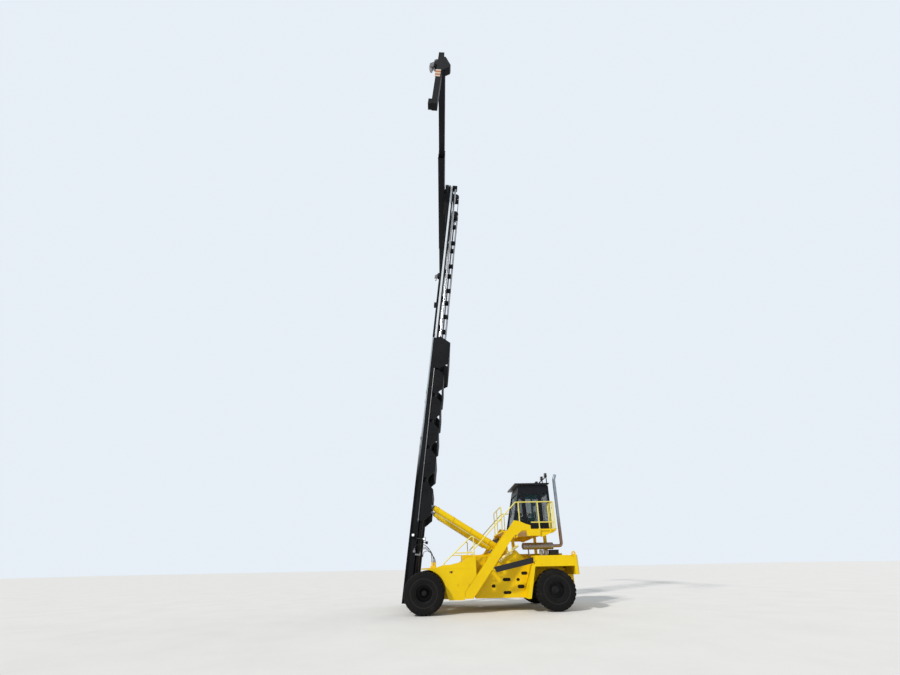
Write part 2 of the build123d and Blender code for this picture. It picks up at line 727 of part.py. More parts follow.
glass_in = cab_half - 40
fit = glass_fit
with BuildPart() as cab_glass:
    pane_low = cab_floor + 90 + fit
    pane_high = cab_head - fit
    pane_half = cab_in - 20 - fit
    plate(side(pane_half), [
        (cab_front(pane_low) - 30, pane_low), (cab_front(pane_high) - 30, pane_high),
        (cab_front(pane_high) - 30 - glass_t, pane_high),
        (cab_front(pane_low) - 30 - glass_t, pane_low)], 2 * pane_half)
    block(cross(cab_rear + 30), (-pane_half, cab_sill + fit), (pane_half, pane_high), glass_t)
    for y in (glass_in, -glass_in + glass_t):
        plate(side(y), [(cab_front(cab_sill) - post - fit, cab_sill + fit),
                        (cab_front(cab_head) - post - fit, pane_high),
                        (door_x0 + post + fit, pane_high), (door_x0 + post + fit, cab_sill + fit)],
              glass_t)
        block(side(y), (door_x1 - post - fit, cab_sill + fit), (cab_rear + post + fit, pane_high),
              glass_t)
    block(side(-glass_in + glass_t), (door_x1 + fit, cab_sill + fit), (door_x0 - fit, pane_high),
          glass_t)
keep(cab_glass.part, "cab_glass")

door_low = cab_floor + 60 + door_gap
door_high = cab_head - door_gap
frame_w = 65
with BuildPart() as door:
    block(side(cab_half), (door_x1 + door_gap, door_low), (door_x0 - door_gap, door_high), 40)
    block(side(cab_half + 1), (door_x1 + door_gap + frame_w, cab_sill),
          (door_x0 - door_gap - frame_w, door_high - frame_w), 42, Mode.SUBTRACT)
    for z in (cab_floor + 280, cab_head - 250):
        rod(deck(z), (door_x1 - 14, cab_half + 22), 14, 110)
        block(deck(z + 20), (door_x1 - 14, cab_half + glass_fit), (door_x1 + 60, cab_half + 12), 70)
        block(deck(z + 20), (door_x1 + 20, cab_half - 1), (door_x1 + 60, cab_half + 2), 70)
    grip_low = cab_sill + 330
    grip_high = cab_sill + 570
    block(side(cab_half + 45), (door_x0 - 70, grip_low), (door_x0 - 45, grip_high), 20)
    for z in (grip_low + 5, grip_high - 20):
        block(side(cab_half + 26), (door_x0 - 70, z), (door_x0 - 45, z + 15), 27)
keep(door.part, "cab_door")

with BuildPart() as door_glass:
    block(side(cab_half - 16), (door_x1 + door_gap + frame_w + fit, cab_sill + fit),
          (door_x0 - door_gap - frame_w - fit, door_high - frame_w - fit), glass_t)
keep(door_glass.part, "door_glass")

# Driver's seat, the console with its wheel, and the lamp frame on the roof
seat_x = -4300
seat_z = cab_floor + pan_t
with BuildPart() as seat:
    block(deck(seat_z + run), (seat_x - 240, -220), (seat_x + 180, 220), 340)
    with BuildSketch(side(250), mode=Mode.PRIVATE) as cushion:
        with BuildLine():
            Polyline((seat_x + 270, seat_z + 340), (seat_x + 280, seat_z + 450),
                     (seat_x - 130, seat_z + 450), (seat_x - 250, seat_z + 1100),
                     (seat_x - 370, seat_z + 1090), (seat_x - 270, seat_z + 330), close=True)
        make_face()
    extrude(cushion.sketch, amount=500)
keep(seat.part, "driver_seat")

console_x = -3690
with BuildPart() as console:
    plate(side(160), [(console_x, seat_z), (console_x - 140, seat_z),
                      (console_x - 220, seat_z + 630), (console_x - 140, seat_z + 660),
                      (console_x - 80, seat_z + 570)], 320)
    wheel_hub = Plane(origin=(front_axle_x + console_x - 220, 0, seat_z + 690),
                      z_dir=(-0.55, 0, 0.83))
    with BuildSketch(wheel_hub, mode=Mode.PRIVATE) as hoop:
        Circle(190)
        Circle(165, mode=Mode.SUBTRACT)
        Rectangle(340, 40)
        Circle(45)
    extrude(hoop.sketch, amount=14, both=True)
    with BuildSketch(wheel_hub, mode=Mode.PRIVATE) as column:
        Circle(30)
    extrude(column.sketch, amount=-160)
    block(side(-300), (seat_x - 100, seat_z), (seat_x + 250, seat_z + 570), 160)
keep(console.part, "console")

lamp_post_x = roof_rear - 60
lamp_top = roof_top + 400
with BuildPart() as lamps:
    for y in (-330, 300):
        plate(side(y + 30), [(-4740, roof_top), (-4780, roof_top), (lamp_post_x + 5, lamp_top - 35),
                             (lamp_post_x + 5, cab_head), (lamp_post_x - 30, cab_head),
                             (lamp_post_x - 30, lamp_top + 5), (lamp_post_x + 15, lamp_top + 5)], 30)
        for z in (cab_head + 20, cab_head + 180):
            block(side(y + 30), (lamp_post_x, z), (cab_rear - run, z + 30), 30)
    rod(side(400), (lamp_post_x - 10, lamp_top - 20), 22, 800)
    for y in (-300, 300):
        block(cross(lamp_post_x - 30), (y - 85, lamp_top), (y + 85, lamp_top + 130), 90)
        block(cross(-4800), (y - 85, roof_top), (y + 85, roof_top + 170), 90)
keep(lamps.part, "roof_lamps")

# Hydraulic valve block on the cross box ahead of the cab
with BuildPart() as valves:
    block(deck(hood_top), (-3050, -540), (-2740, 540), 220)
    for y, height in ((-450, 400), (-270, 220), (-90, 400), (90, 220), (270, 400), (450, 400)):
        rod(deck(hood_top + 220), (-2895, y), 55, height)
        rod(cross(-2740), (y, hood_top + 120), 40, 120)
keep(valves.part, "valve_block")

# Blank plates between the stairs and the rear mudguards, held by a tab at each end
with BuildPart() as plates:
    for y in (side_y + 12, -side_y):
        plate(side(y), [(-2605, 1345), (-2514, 1531), (-3971, 1848), (-3971, 1640)], 12)
        block(side(y), (-2560, 1420), (stair_x(1420) + 40, 1460), 12)
        block(side(y), (-4090, 1720), (-3950, 1760), 12)
keep(plates.part, "name_plates")

# Outer mast: two channels with outward web, rear cross members and feet on the hinge
with BuildPart() as outer_mast:
    outer_back = outer_front - outer_depth
    for hand in (1, -1):
        near, far = hand * outer_half, hand * (outer_half - outer_flange_w)
        web = hand * (outer_half - 60)
        for u0, u1, y0, y1 in (
                (outer_front - flange_t, outer_front, near, far),
                (outer_back, outer_back + flange_t, near, far),
                (outer_back, outer_front, web, web - hand * web_t)):
            block(mast_deck(outer_low), (u0, min(y0, y1)), (u1, max(y0, y1)),
                  outer_high - outer_low)
        start = near if hand > 0 else far
        with BuildSketch(mast_side(start), mode=Mode.PRIVATE) as foot:
            with BuildLine():
                Polyline((outer_back + 10, outer_low), (60, -170), (-95, -90), (-110, 40),
                         (-60, 140), (outer_back + 10, 620), close=True)
            make_face()
            Circle(hinge_pin_r, mode=Mode.SUBTRACT)
        extrude(foot.sketch, amount=outer_flange_w)
        cheek = cheek_y + cheek_t if hand > 0 else -cheek_y
        for low, high, reach in cross_members:
            plate(mast_side(cheek), [
                (outer_back + 5, low), (-20, low), (reach, low + member_slope),
                (reach, high - member_slope), (-20, high), (outer_back + 5, high)], cheek_t)
    for number, (low, high, reach) in enumerate(cross_members):
        low_edge = low + member_slope if number else tilt_pin_w + 260
        high_edge = high - member_slope
        block(mast_cross(reach), (-cheek_y, low_edge), (cheek_y, high_edge), 30)
        for w in (low_edge, high_edge - 20):
            block(mast_deck(w), (reach, -cheek_y), (reach + member_lip, cheek_y), 20)
    for hand in (1, -1):
        for y in (tilt_y + ear_y + tilt_ear_t, tilt_y - ear_y):
            start = hand * y if hand > 0 else hand * y + tilt_ear_t
            with BuildSketch(mast_side(start), mode=Mode.PRIVATE) as ear:
                with BuildLine():
                    Polyline((-290, tilt_pin_w + 590), (-290, tilt_pin_w + 220),
                             (tilt_pin_u - 100, tilt_pin_w + 40),
                             (tilt_pin_u - 80, tilt_pin_w - 80), (tilt_pin_u, tilt_pin_w - 115),
                             (tilt_pin_u + 90, tilt_pin_w - 70), (-35, tilt_pin_w + 260),
                             (-95, tilt_pin_w + 590), close=True)
                make_face()
                with Locations((tilt_pin_u, tilt_pin_w)):
                    Circle(tilt_pin_r + tilt_drift, mode=Mode.SUBTRACT)
            extrude(ear.sketch, amount=tilt_ear_t)
        y = min(hand * (lift_y - 75), hand * (lift_y + 100))
        block(mast_deck(lift_low - 50), (-40, y), (outer_back + 10, y + 175), 50)
        top_y = hand * (inner_half - 18)
        roller_start = top_y + 21 if hand > 0 else top_y + 21
        rod(mast_side(roller_start), (inner_back + inner_depth / 2, outer_high - 150),
            inner_roller_r, 42)
        pin_end = outer_half - 60 - web_t / 2
        start = pin_end if hand > 0 else -(inner_half - 5)
        rod(mast_side(start), (inner_back + inner_depth / 2, outer_high - 150), 30,
            pin_end - inner_half + 5)
    for hand in (1, -1):
        y = hand * chain_y
        block(mast_deck(outer_high - member_slope - 20), (cross_members[-1][2] + 5, y - 60),
              (chain_u - chain_t / 2 - chain_room, y + 60), 60)
keep(outer_mast.part, "outer_mast")

# Inner mast: two beams inside the outer ones, cross members with chain guides, rollers, crown
# and chain wheels
sheave_u = chain_u + chain_t / 2 + sheave_r
sheave_w = inner_high - sheave_drop
with BuildPart() as inner_mast:
    for hand in (1, -1):
        near, far = hand * inner_half, hand * (inner_half - inner_flange_w)
        web = hand * (inner_half - 45)
        for u0, u1, y0, y1 in (
                (inner_front - flange_t, inner_front, near, far),
                (inner_back, inner_back + flange_t, near, far),
                (inner_back, inner_front, web, web - hand * web_t)):
            block(mast_deck(inner_low), (u0, min(y0, y1)), (u1, max(y0, y1)),
                  inner_high - inner_low)
        for w in (inner_low + 130, inner_low + 720):
            roller_end = outer_half - 60 - web_t - 5
            start = roller_end if hand > 0 else -(inner_half + 8)
            rod(mast_side(start), (inner_back + inner_depth / 2, w), outer_roller_r,
                roller_end - inner_half - 8)
            start = roller_end - 10 if hand > 0 else -(inner_half - 50)
            rod(mast_side(start), (inner_back + inner_depth / 2, w), 38,
                roller_end - 10 - inner_half + 50)
    span = inner_half - inner_flange_w + 55
    ladder = list(range(inner_low + 60, inner_high - 1200, 1750)) + [inner_high - 640]
    for w in ladder:
        block(mast_deck(w), (inner_back - 55, -span), (inner_back + 5, span), 260)
        for hand in (1, -1):
            for side_gap in (-chain_w / 2 - guide_t - 6, chain_w / 2 + 6):
                y = hand * chain_y + side_gap
                block(mast_deck(w + 30), (chain_u - chain_t / 2 - 3, y),
                      (inner_back - 50, y + guide_t), 200)
    for hand in (1, -1):
        low = min(hand * 820, hand * 1080)
        block(mast_deck(inner_high - 130), (lift_u - 90, low), (inner_front, low + 260), 130)
        for dy in (-78, 53):
            y = hand * chain_y + dy
            block(mast_deck(inner_high - 400), (sheave_u - 60, y), (inner_front - 100, y + 25), 400)
        rod(mast_side(hand * chain_y + chain_w / 2), (sheave_u, sheave_w), sheave_r - run, chain_w)
        rod(mast_side(hand * chain_y + 78), (sheave_u, sheave_w), 35, 156)
        low, high = sorted((hand * (chain_y + 60), hand * (inner_half - inner_flange_w + 20)))
        block(mast_deck(sheave_w + 60), (inner_front - 180, low), (inner_front - 100, high), 80)
keep(inner_mast.part, "inner_mast")

# Leaf chains: the long strands behind the inner mast, which go over the wheels, and the short
# ones down to the carriage
anchor_w = 20410
with BuildPart() as chain_long:
    for hand in (1, -1):
        y = hand * chain_y
        block(mast_deck(chain_low), (chain_u - chain_t / 2, y - chain_w / 2),
              (chain_u + chain_t / 2, y + chain_w / 2), sheave_w - chain_low)
        with BuildSketch(mast_side(y + chain_w / 2), mode=Mode.PRIVATE) as wrap:
            with Locations((sheave_u, sheave_w)):
                Circle(sheave_r + chain_t)
                Circle(sheave_r, mode=Mode.SUBTRACT)
            with Locations((sheave_u, sheave_w - sheave_r)):
                Rectangle(3 * sheave_r, 2 * sheave_r, mode=Mode.SUBTRACT)
        extrude(wrap.sketch, amount=chain_w)
keep(chain_long.part, "chains_long")

with BuildPart() as chain_short:
    front_u = chain_u + 2 * sheave_r + chain_t + run
    for hand in (1, -1):
        y = hand * chain_y
        block(mast_deck(anchor_w), (front_u - chain_t / 2, y - chain_w / 2),
              (front_u + chain_t / 2, y + chain_w / 2), sheave_w - run - anchor_w)
keep(chain_short.part, "chains_short")

# Lift cylinders behind the outer mast's beams
with BuildPart() as lift_barrels:
    for hand in (1, -1):
        at = (lift_u, hand * lift_y)
        rod(mast_deck(lift_low), at, lift_barrel_r, outer_high + 60 - lift_low)
        rod(mast_deck(lift_low + 120), at, lift_rod_r + 3, outer_high - lift_low, Mode.SUBTRACT)
keep(lift_barrels.part, "lift_barrels")

with BuildPart() as lift_rods:
    for hand in (1, -1):
        rod(mast_deck(inner_low + 650), (lift_u, hand * lift_y), lift_rod_r,
            inner_high - 131 - inner_low - 650)
keep(lift_rods.part, "lift_rods")

# Tilt cylinders: barrels on the chassis ears, rods up to the mast ears
tilt_base = Vector(front_axle_x + tilt_base_x, 0, tilt_base_z)
tilt_head = hinge + ahead * tilt_pin_u + up * tilt_pin_w
tilt_line = tilt_head - tilt_base
tilt_dir = tilt_line.normalized()
tilt_length = tilt_line.length


def tilt_deck(s, y):
    """Plane square to a tilt cylinder, s from its chassis pin."""
    return Plane(origin=tilt_base + tilt_dir * s + Vector(0, y, 0), x_dir=(0, 1, 0),
                 z_dir=tilt_dir)


for hand_name, hand in both_sides():
    y = hand * tilt_y
    with BuildPart() as tilt_barrel:
        rod(tilt_deck(150, y), (0, 0), tilt_barrel_r, tilt_gland - 150)
        rod(tilt_deck(tilt_gland - 900, y), (0, 0), tilt_rod_r + 4, 840, Mode.SUBTRACT)
        rod(tilt_deck(tilt_gland - 70, y), (0, 0), tilt_rod_r + run, 80, Mode.SUBTRACT)
        block(tilt_deck(60, y), (-tilt_eye_w / 2, -70), (tilt_eye_w / 2, 70), 100)
        rod(side(y + tilt_eye_w / 2), (tilt_base_x, tilt_base_z), tilt_eye_r, tilt_eye_w)
        rod(side(y + ear_y + tilt_ear_t), (tilt_base_x, tilt_base_z), tilt_pin_r,
            2 * (ear_y + tilt_ear_t))
        for s in (420, 1250, 2050, 2760):
            with BuildSketch(tilt_deck(s, y), mode=Mode.PRIVATE) as band:
                Circle(tilt_barrel_r + 12)
                Circle(tilt_barrel_r - 2, mode=Mode.SUBTRACT)
            extrude(band.sketch, amount=55)
        rod(tilt_deck(380, y), (0, -tilt_barrel_r - 22), 20, 2400)
    keep(tilt_barrel.part, "tilt_barrel_" + hand_name)

    with BuildPart() as tilt_rod:
        rod(tilt_deck(tilt_gland - 850, y), (0, 0), tilt_rod_r, tilt_length - tilt_gland + 850 - 60)
        rod(Plane(origin=tilt_head + Vector(0, y + tilt_eye_w / 2, 0), z_dir=(0, -1, 0)),
            (0, 0), tilt_eye_r, tilt_eye_w)
        rod(Plane(origin=tilt_head + Vector(0, y + ear_y + tilt_ear_t, 0), z_dir=(0, -1, 0)),
            (0, 0), tilt_pin_r, 2 * (ear_y + tilt_ear_t))
    keep(tilt_rod.part, "tilt_rod_" + hand_name)

lower_tube = beam_low
upper_tube = beam_low + tube_h + tube_gap
rail_offset = 120
hazard_w, hazard_h, hazard_t = 20700, 500, 12
lip_t = 34
lip_reach = 110
lip_room = 8
lip_low = beam_low - rail_offset - run
lip_high = upper_tube + tube_h + rail_offset + run

# Carriage: two roller plates inside the inner mast and the cross beams that carry the spreader
with BuildPart() as carriage:
    for hand in (1, -1):
        start = hand * carriage_plate_y + carriage_plate_t if hand > 0 else -carriage_plate_y
        plate(mast_side(start), [
            (220, carriage_low), (beam_u - 60, carriage_low), (beam_u - 60, carriage_high),
            (beam_u - 200, carriage_high), (inner_front - 20, 21500), (220, 21000)],
            carriage_plate_t)
        for w in (carriage_low + 160, carriage_low + 1450):
            far = inner_half - 45 - web_t - 6
            start = far if hand > 0 else -(carriage_plate_y + carriage_plate_t)
            rod(mast_side(start), (inner_back + inner_depth / 2, w), inner_roller_r,
                far - carriage_plate_y - carriage_plate_t)
    for w in (lip_low - lip_t, lip_high):
        block(mast_deck(w - lip_room), (beam_u - lip_reach - lip_room, -inner_half),
              (beam_u, inner_half), lip_t + 2 * lip_room, Mode.SUBTRACT)
    for w, h in ((carriage_low + 60, 240), (anchor_w - 60, 240), (21300, 240)):
        block(mast_deck(w), (beam_u - 190, -carriage_plate_y), (beam_u - 60, carriage_plate_y), h)
    for hand in (1, -1):
        y = hand * chain_y
        block(mast_deck(anchor_w - 60), (front_u - 30, y - 55), (beam_u - 180, y + 55), 60)
    for w in (beam_low - rail_offset, upper_tube + tube_h + rail_offset - 70):
        block(mast_deck(w), (beam_u - 70, -950), (beam_u - 30, 950), 70)
keep(carriage.part, "carriage")

# Spreader: two stacked tubes for the arms, hung on the carriage by hooks that slide sideways
with BuildPart() as spreader:
    for w in (lower_tube, upper_tube):
        block(mast_deck(w), (beam_u, -beam_half), (beam_u + beam_depth, beam_half), tube_h)
    for w in (lower_tube, upper_tube):
        block(mast_side(beam_half + 10), (beam_u + tube_wall, w + tube_wall),
              (beam_u + beam_depth - tube_wall, w + tube_h - tube_wall), 2 * beam_half + 20,
              Mode.SUBTRACT)
        for at_mouth in (-beam_half, beam_half - 150):
            for pad in (w + tube_wall, w + tube_h - tube_wall - arm_slip + run):
                block(mast_deck(pad), (beam_u + tube_wall, at_mouth),
                      (beam_u + beam_depth - tube_wall, at_mouth + 150), arm_slip - run)
    for y in (-2700, -1500, -300, 1100, 2500):
        block(mast_deck(lower_tube + tube_h - 5), (beam_u, y), (beam_u + beam_depth, y + 200),
              tube_gap + 10)
    for y in (-700, 450):
        block(mast_side(y + 250), (beam_u - 24, lip_low - lip_t), (beam_u, lip_high + lip_t), 250)
        for low, high in ((lip_low - lip_t, lip_low), (lip_high, lip_high + lip_t)):
            block(mast_side(y + 250), (beam_u - lip_reach, low), (beam_u, high), 250)
    block(mast_deck(upper_tube + tube_h), (beam_u, -900), (beam_u + beam_depth, 900), 25)
keep(spreader.part, "spreader_frame")

for hand_name, hand in both_sides():
    w = upper_tube if hand > 0 else lower_tube
    inset = tube_wall + arm_slip
    post_front = beam_u + beam_depth + 60
    with BuildPart() as arm:
        low, high = sorted((hand * arm_tail, hand * (arm_reach - 60)))
        block(mast_deck(w + inset), (beam_u + inset, low), (beam_u + beam_depth - inset, high),
              tube_h - 2 * inset)
        post_y = min(hand * (arm_reach - end_post_w), hand * arm_reach)
        block(mast_deck(end_post_low), (beam_u + 150, post_y),
              (post_front, post_y + end_post_w), end_post_high - end_post_low)
        block(mast_deck(end_post_low), (post_front, post_y + 20),
              (casting_u - 95, post_y + end_post_w - 20), 320)
        plate(mast_side(post_y + end_post_w), [
            (beam_u + 160, 21200), (beam_u - 170, 21480), (beam_u - 200, 21600),
            (beam_u + 60, 22180), (beam_u + 160, 22200)], end_post_w)
        for dy in (0, end_post_w - 50):
            with BuildSketch(mast_side(post_y + dy + 50), mode=Mode.PRIVATE) as lug:
                with BuildLine():
                    Polyline((post_front, hook_w + 130), (1230, hook_w + 210),
                             (1230, hook_w + 470), (1150, hook_w + 530),
                             (post_front, hook_w + 530), close=True)
                make_face()
                with Locations((hook_pin_u, hook_w + hook_pin_h)):
                    Circle(hook_pin_r, mode=Mode.SUBTRACT)
            extrude(lug.sketch, amount=50)
    keep(arm.part, "spreader_arm_" + hand_name)

    with BuildPart() as hook:
        middle = hand * (arm_reach - end_post_w / 2)
        rod(mast_side(middle + end_post_w / 2), (hook_pin_u, hook_w + hook_pin_h), hook_pin_r - run,
            end_post_w)
        plate(mast_side(middle + 75), [(1122, hook_w + 370), (1117, hook_w + 458),
                                       (1200, hook_w + 500), (1420, hook_w + 330),
                                       (1430, hook_w + 110), (1250, hook_w + 110),
                                       (1230, hook_w + 350)], 150)
        rod(mast_deck(hook_w - 40), (casting_u, middle), 45, 155)
        rod(mast_deck(hook_w - 90), (casting_u, middle), 60, 55)
    keep(hook.part, "hook_" + hand_name)

    with BuildPart() as hazard_plate:
        start = hand * arm_reach + run if hand > 0 else -arm_reach - run - hazard_t
        block(mast_deck(hazard_w), (beam_u + 190, start), (post_front + 30, start + hazard_t),
              hazard_h)
    keep(hazard_plate.part, "hazard_plate_" + hand_name)

# Pipes up the outer mast's sides, in clamps, with the ports of the hoses at their foot
outer_face = outer_half + run
pipe_r = 14
pipe_u = outer_back + flange_t / 2
pipe_low, pipe_high = 2600, 9500
clamp_pitch = 1150
clamp_w, clamp_t = 60, 34
port_w, port_h, port_t = 1475, 40, 60
arm_w, arm_h, arm_t, arm_u = 1369, 29, 45, -40
with BuildPart() as mast_pipes:
    for hand in (1, -1):
        rod(mast_deck(pipe_low), (pipe_u, hand * (outer_face + clamp_t / 2)), pipe_r,
            pipe_high - pipe_low)
        low = min(hand * outer_face, hand * (outer_face + clamp_t))
        for w in range(pipe_low + clamp_w, pipe_high, clamp_pitch):
            block(mast_deck(w), (outer_back, low), (outer_back + flange_t, low + clamp_t), clamp_w)
        low = min(hand * outer_face, hand * (outer_face + port_t))
        block(mast_deck(port_w - port_h), (outer_back, low), (outer_back + 90, low + port_t),
              2 * port_h)
        low = min(hand * outer_half, hand * (outer_half - arm_t))
        block(mast_deck(arm_w - arm_h), (arm_u, low), (outer_back - run, low + arm_t), 2 * arm_h)
keep(mast_pipes.part, "mast_pipes")

# Work lamps on the outer mast: one on the web and one on an arm behind it
with BuildPart() as mast_lamps:
    for hand in (1, -1):
        web_y = outer_half - 60 + run
        low = min(hand * web_y, hand * (web_y + 130))
        block(mast_deck(2010), (outer_back + 90, low), (outer_back + 210, low + 130), 120)
        low = min(hand * outer_half, hand * (outer_half - arm_t))
        block(mast_deck(1950), (-100, low), (outer_back - run, low + arm_t), 30)
        low = min(hand * (outer_half + 50), hand * (outer_half - arm_t))
        block(mast_deck(1900), (-190, low), (-80, low + arm_t + 50), 120)
keep(mast_lamps.part, "mast_lamps")


def hose(points, y, radius):
    """A hose along straight runs, each bend as wide as its two runs allow."""
    corners = [Vector(front_axle_x + x, y, z) for x, z in points]
    runs = [end - start for start, end in zip(corners, corners[1:])]
    bends = []
    for before, after in zip(runs, runs[1:]):
        turn = radians(before.get_angle(after))
        bends.append(0.45 * min(before.length, after.length) / tan(turn / 2))
    print("hose bends in mm:", [round(bend) for bend in bends])
    with BuildLine(mode=Mode.PRIVATE) as path:
        FilletPolyline(*corners, radius=bends)
    with BuildSketch(Plane(origin=corners[0], z_dir=runs[0]), mode=Mode.PRIVATE) as ring:
        Circle(radius)
    sweep(ring.sketch, path=path.line)


# Hoses from the mast's ports to the ports on the shelves: place ahead of the axle, height
hose_r = 12
hose_routes = (
    ("front", port_y[0], [(410.8, 2188.6), (395.6, 2337.8), (240, 2415), (60, 2400),
                          (-120, 2280), (-225, 2110), (-258, 1930), (-258, port_top + run)]),
    ("rear", port_y[1], [(198.6, 2051.4), (189.5, 2140.9), (125, 2222), (20, 2250), (-95, 2205),
                         (-190, 2115), (-270, 2000), (-350, 1870), (-350, port_top + run)]),
)
for hand_name, hand in both_sides():
    for place, y, route in hose_routes:
        with BuildPart() as line:
            hose(route, hand * y, hose_r)
        keep(line.part, "hose_" + hand_name + "_" + place)
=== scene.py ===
import json
from math import cos, pi, radians, sin, tau

import bmesh
import bpy
from mathutils import Matrix, Vector


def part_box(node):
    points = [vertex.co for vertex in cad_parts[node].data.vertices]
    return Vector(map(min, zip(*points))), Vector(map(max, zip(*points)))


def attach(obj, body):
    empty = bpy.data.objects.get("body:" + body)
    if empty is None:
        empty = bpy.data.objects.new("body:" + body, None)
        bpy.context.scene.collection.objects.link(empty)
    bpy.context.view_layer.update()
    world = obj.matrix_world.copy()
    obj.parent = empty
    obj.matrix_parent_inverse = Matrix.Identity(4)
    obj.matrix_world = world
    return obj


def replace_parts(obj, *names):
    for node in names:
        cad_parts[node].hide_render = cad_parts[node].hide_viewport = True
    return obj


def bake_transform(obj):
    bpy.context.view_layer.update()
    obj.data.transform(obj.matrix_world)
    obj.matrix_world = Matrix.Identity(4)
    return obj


# Metres, in the part's own frame: +X forward, +Y to the machine's left, +Z up,
# the origin on the ground under the middle of the machine's box.
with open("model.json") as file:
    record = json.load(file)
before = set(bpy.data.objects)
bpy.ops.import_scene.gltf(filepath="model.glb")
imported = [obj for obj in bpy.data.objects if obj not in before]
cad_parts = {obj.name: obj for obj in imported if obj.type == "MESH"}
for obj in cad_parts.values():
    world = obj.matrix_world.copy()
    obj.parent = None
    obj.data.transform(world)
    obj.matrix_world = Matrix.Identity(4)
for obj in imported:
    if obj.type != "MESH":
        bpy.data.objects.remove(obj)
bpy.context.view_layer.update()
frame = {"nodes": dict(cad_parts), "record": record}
node_slots = {row["node"]: row["material_slot"] for row in frame["record"]["subparts"]}
hands = (("left", 1), ("right", -1))
both_sides = (1, -1)
smooth_angle = radians(28)

# Directions of the machine, then of its leaning mast
forward = Vector((1, 0, 0))
across = Vector((0, 1, 0))
upright = Vector((0, 0, 1))
level = (forward, across, upright)
lean = radians(5.8)
ahead = Vector((cos(lean), 0, sin(lean)))
up = Vector((-sin(lean), 0, cos(lean)))


def node_middle(name):
    low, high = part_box(name)
    return (low + high) / 2


# Driving places, from the frame. Long places are measured from the front axle.
axle_x = node_middle("front_rim_left").x
rear_x = node_middle("rear_rim_left").x - axle_x
wheel_z = node_middle("front_rim_left").z
tyre_w = 0.40

# Outer sides of the tyres and of the body's panels
front_face = 2.076
inner_twin_face = 1.616
rear_face = 1.700
side_y = 1.70


def at(x, y, z):
    """A point given from the front axle, the centre plane and the ground."""
    return Vector((axle_x + x, y, z))


def on_mast(u, y, w):
    """A point given ahead of the mast's hinge, from the centre plane and up the mast."""
    return hinge + ahead * u + up * w + across * y


# The mast's hinge, then the tilt cylinders from the chassis to the mast
hinge = at(0.36, 0, 0.66)
tilt_base = at(-2.850, 0, 2.220)
tilt_head = on_mast(-0.143, 0, 3.340)
tilt_dir = (tilt_head - tilt_base).normalized()
tilt_y = 0.90

# Camera, fitted to the photograph
camera_place = (1.845, 15.151, 1.595)
camera_yaw = radians(-1.041)
camera_pitch = radians(19.046)
camera_roll = radians(-1.149)
camera_lens = 14.073
camera_shift = (0.0044, 0.1190)


# Materials

def feed(tree, node, inputs):
    """Each input is linked to a socket or set to a value."""
    for key, value in inputs.items():
        if isinstance(value, bpy.types.NodeSocket):
            tree.links.new(value, node.inputs[key])
        else:
            node.inputs[key].default_value = value


def add_node(tree, kind, inputs, operation=None):
    node = tree.nodes.new("ShaderNode" + kind)
    if operation:
        node.operation = operation
    feed(tree, node, inputs)
    return node


class Look:
    """A material in the making, with short ways to add its nodes."""

    def __init__(self, name):
        self.material = bpy.data.materials.new(name)
        self.material.use_nodes = True
        self.tree = self.material.node_tree

    def surface(self, inputs):
        """Inputs of the shader itself."""
        feed(self.tree, self.tree.nodes["Principled BSDF"], inputs)

    def place(self):
        """Where a point of the piece lies, in metres."""
        return add_node(self.tree, "TexCoord", {}).outputs["Object"]

    def noise(self, scale, detail=6, roughness=0.6, stretch=(1, 1, 1)):
        """Noise fixed to the piece."""
        mapped = add_node(self.tree, "Mapping", {"Vector": self.place(), "Scale": stretch})
        inputs = {"Vector": mapped.outputs["Vector"], "Scale": scale, "Detail": detail,
                  "Roughness": roughness}
        return add_node(self.tree, "TexNoise", inputs).outputs["Fac"]

    def wave(self, direction, scale, place):
        """Bands that follow each other in one direction."""
        wave = add_node(self.tree, "TexWave", {"Vector": place, "Scale": scale})
        wave.bands_direction = direction
        return wave.outputs["Fac"]

    def ramp(self, source, low, high):
        """A mask that rises from 0 at low to 1 at high."""
        mask = add_node(self.tree, "MapRange", {"Value": source, "From Min": low, "From Max": high})
        mask.interpolation_type = "SMOOTHSTEP"
        return mask.outputs["Result"]

    def spread(self, source, low, high):
        """A value that goes from low to high as the source goes from 0 to 1."""
        inputs = {"Value": source, "To Min": low, "To Max": high}
        return add_node(self.tree, "MapRange", inputs).outputs["Result"]

    def number(self, operation, *values):
        """The result of a calculation with numbers."""
        return add_node(self.tree, "Math", dict(enumerate(values)), operation).outputs[0]

    def vector(self, operation, *values):
        """The outputs of a calculation with vectors: Vector and Value."""
        return add_node(self.tree, "VectorMath", dict(enumerate(values)), operation).outputs

    def product(self, *masks):
        result = masks[0]
        for mask in masks[1:]:
            result = self.number("MULTIPLY", result, mask)
        return result

    def along(self, direction, start):
        """How far a point of the piece lies from start along a direction."""
        away = self.vector("SUBTRACT", self.place(), start)["Vector"]
        return self.vector("DOT_PRODUCT", away, direction)["Value"]

    def off_axle(self, centre):
        """How far a point of the piece lies from the axle through a wheel's centre."""
        away = self.vector("SUBTRACT", self.place(), centre)["Vector"]
        flat = self.vector("MULTIPLY", away, (1, 0, 1))["Vector"]
        return self.vector("LENGTH", flat)["Value"]

    def blended(self, mask, first, second):
        """Colour that goes from first to second as the mask rises."""
        mix = self.tree.nodes.new("ShaderNodeMix")
        mix.data_type = "RGBA"
        first, second = [tint if isinstance(tint, bpy.types.NodeSocket) else (*tint, 1)
                         for tint in (first, second)]
        feed(self.tree, mix, {"Factor": mask, 6: first, 7: second})
        return mix.outputs[2]

    def bump(self, source, distance, strength):
        """Relief as deep as the distance."""
        inputs = {"Height": source, "Distance": distance, "Strength": strength}
        self.surface({"Normal": add_node(self.tree, "Bump", inputs).outputs["Normal"]})


# Bands of painted highlight, the sun and sky on the mast's flanges, which sliding also rubs bare:
# half the width over which one fades in, and their colour
band_edge = 0.004
flange_highlight = (0.74, 0.80, 0.86)


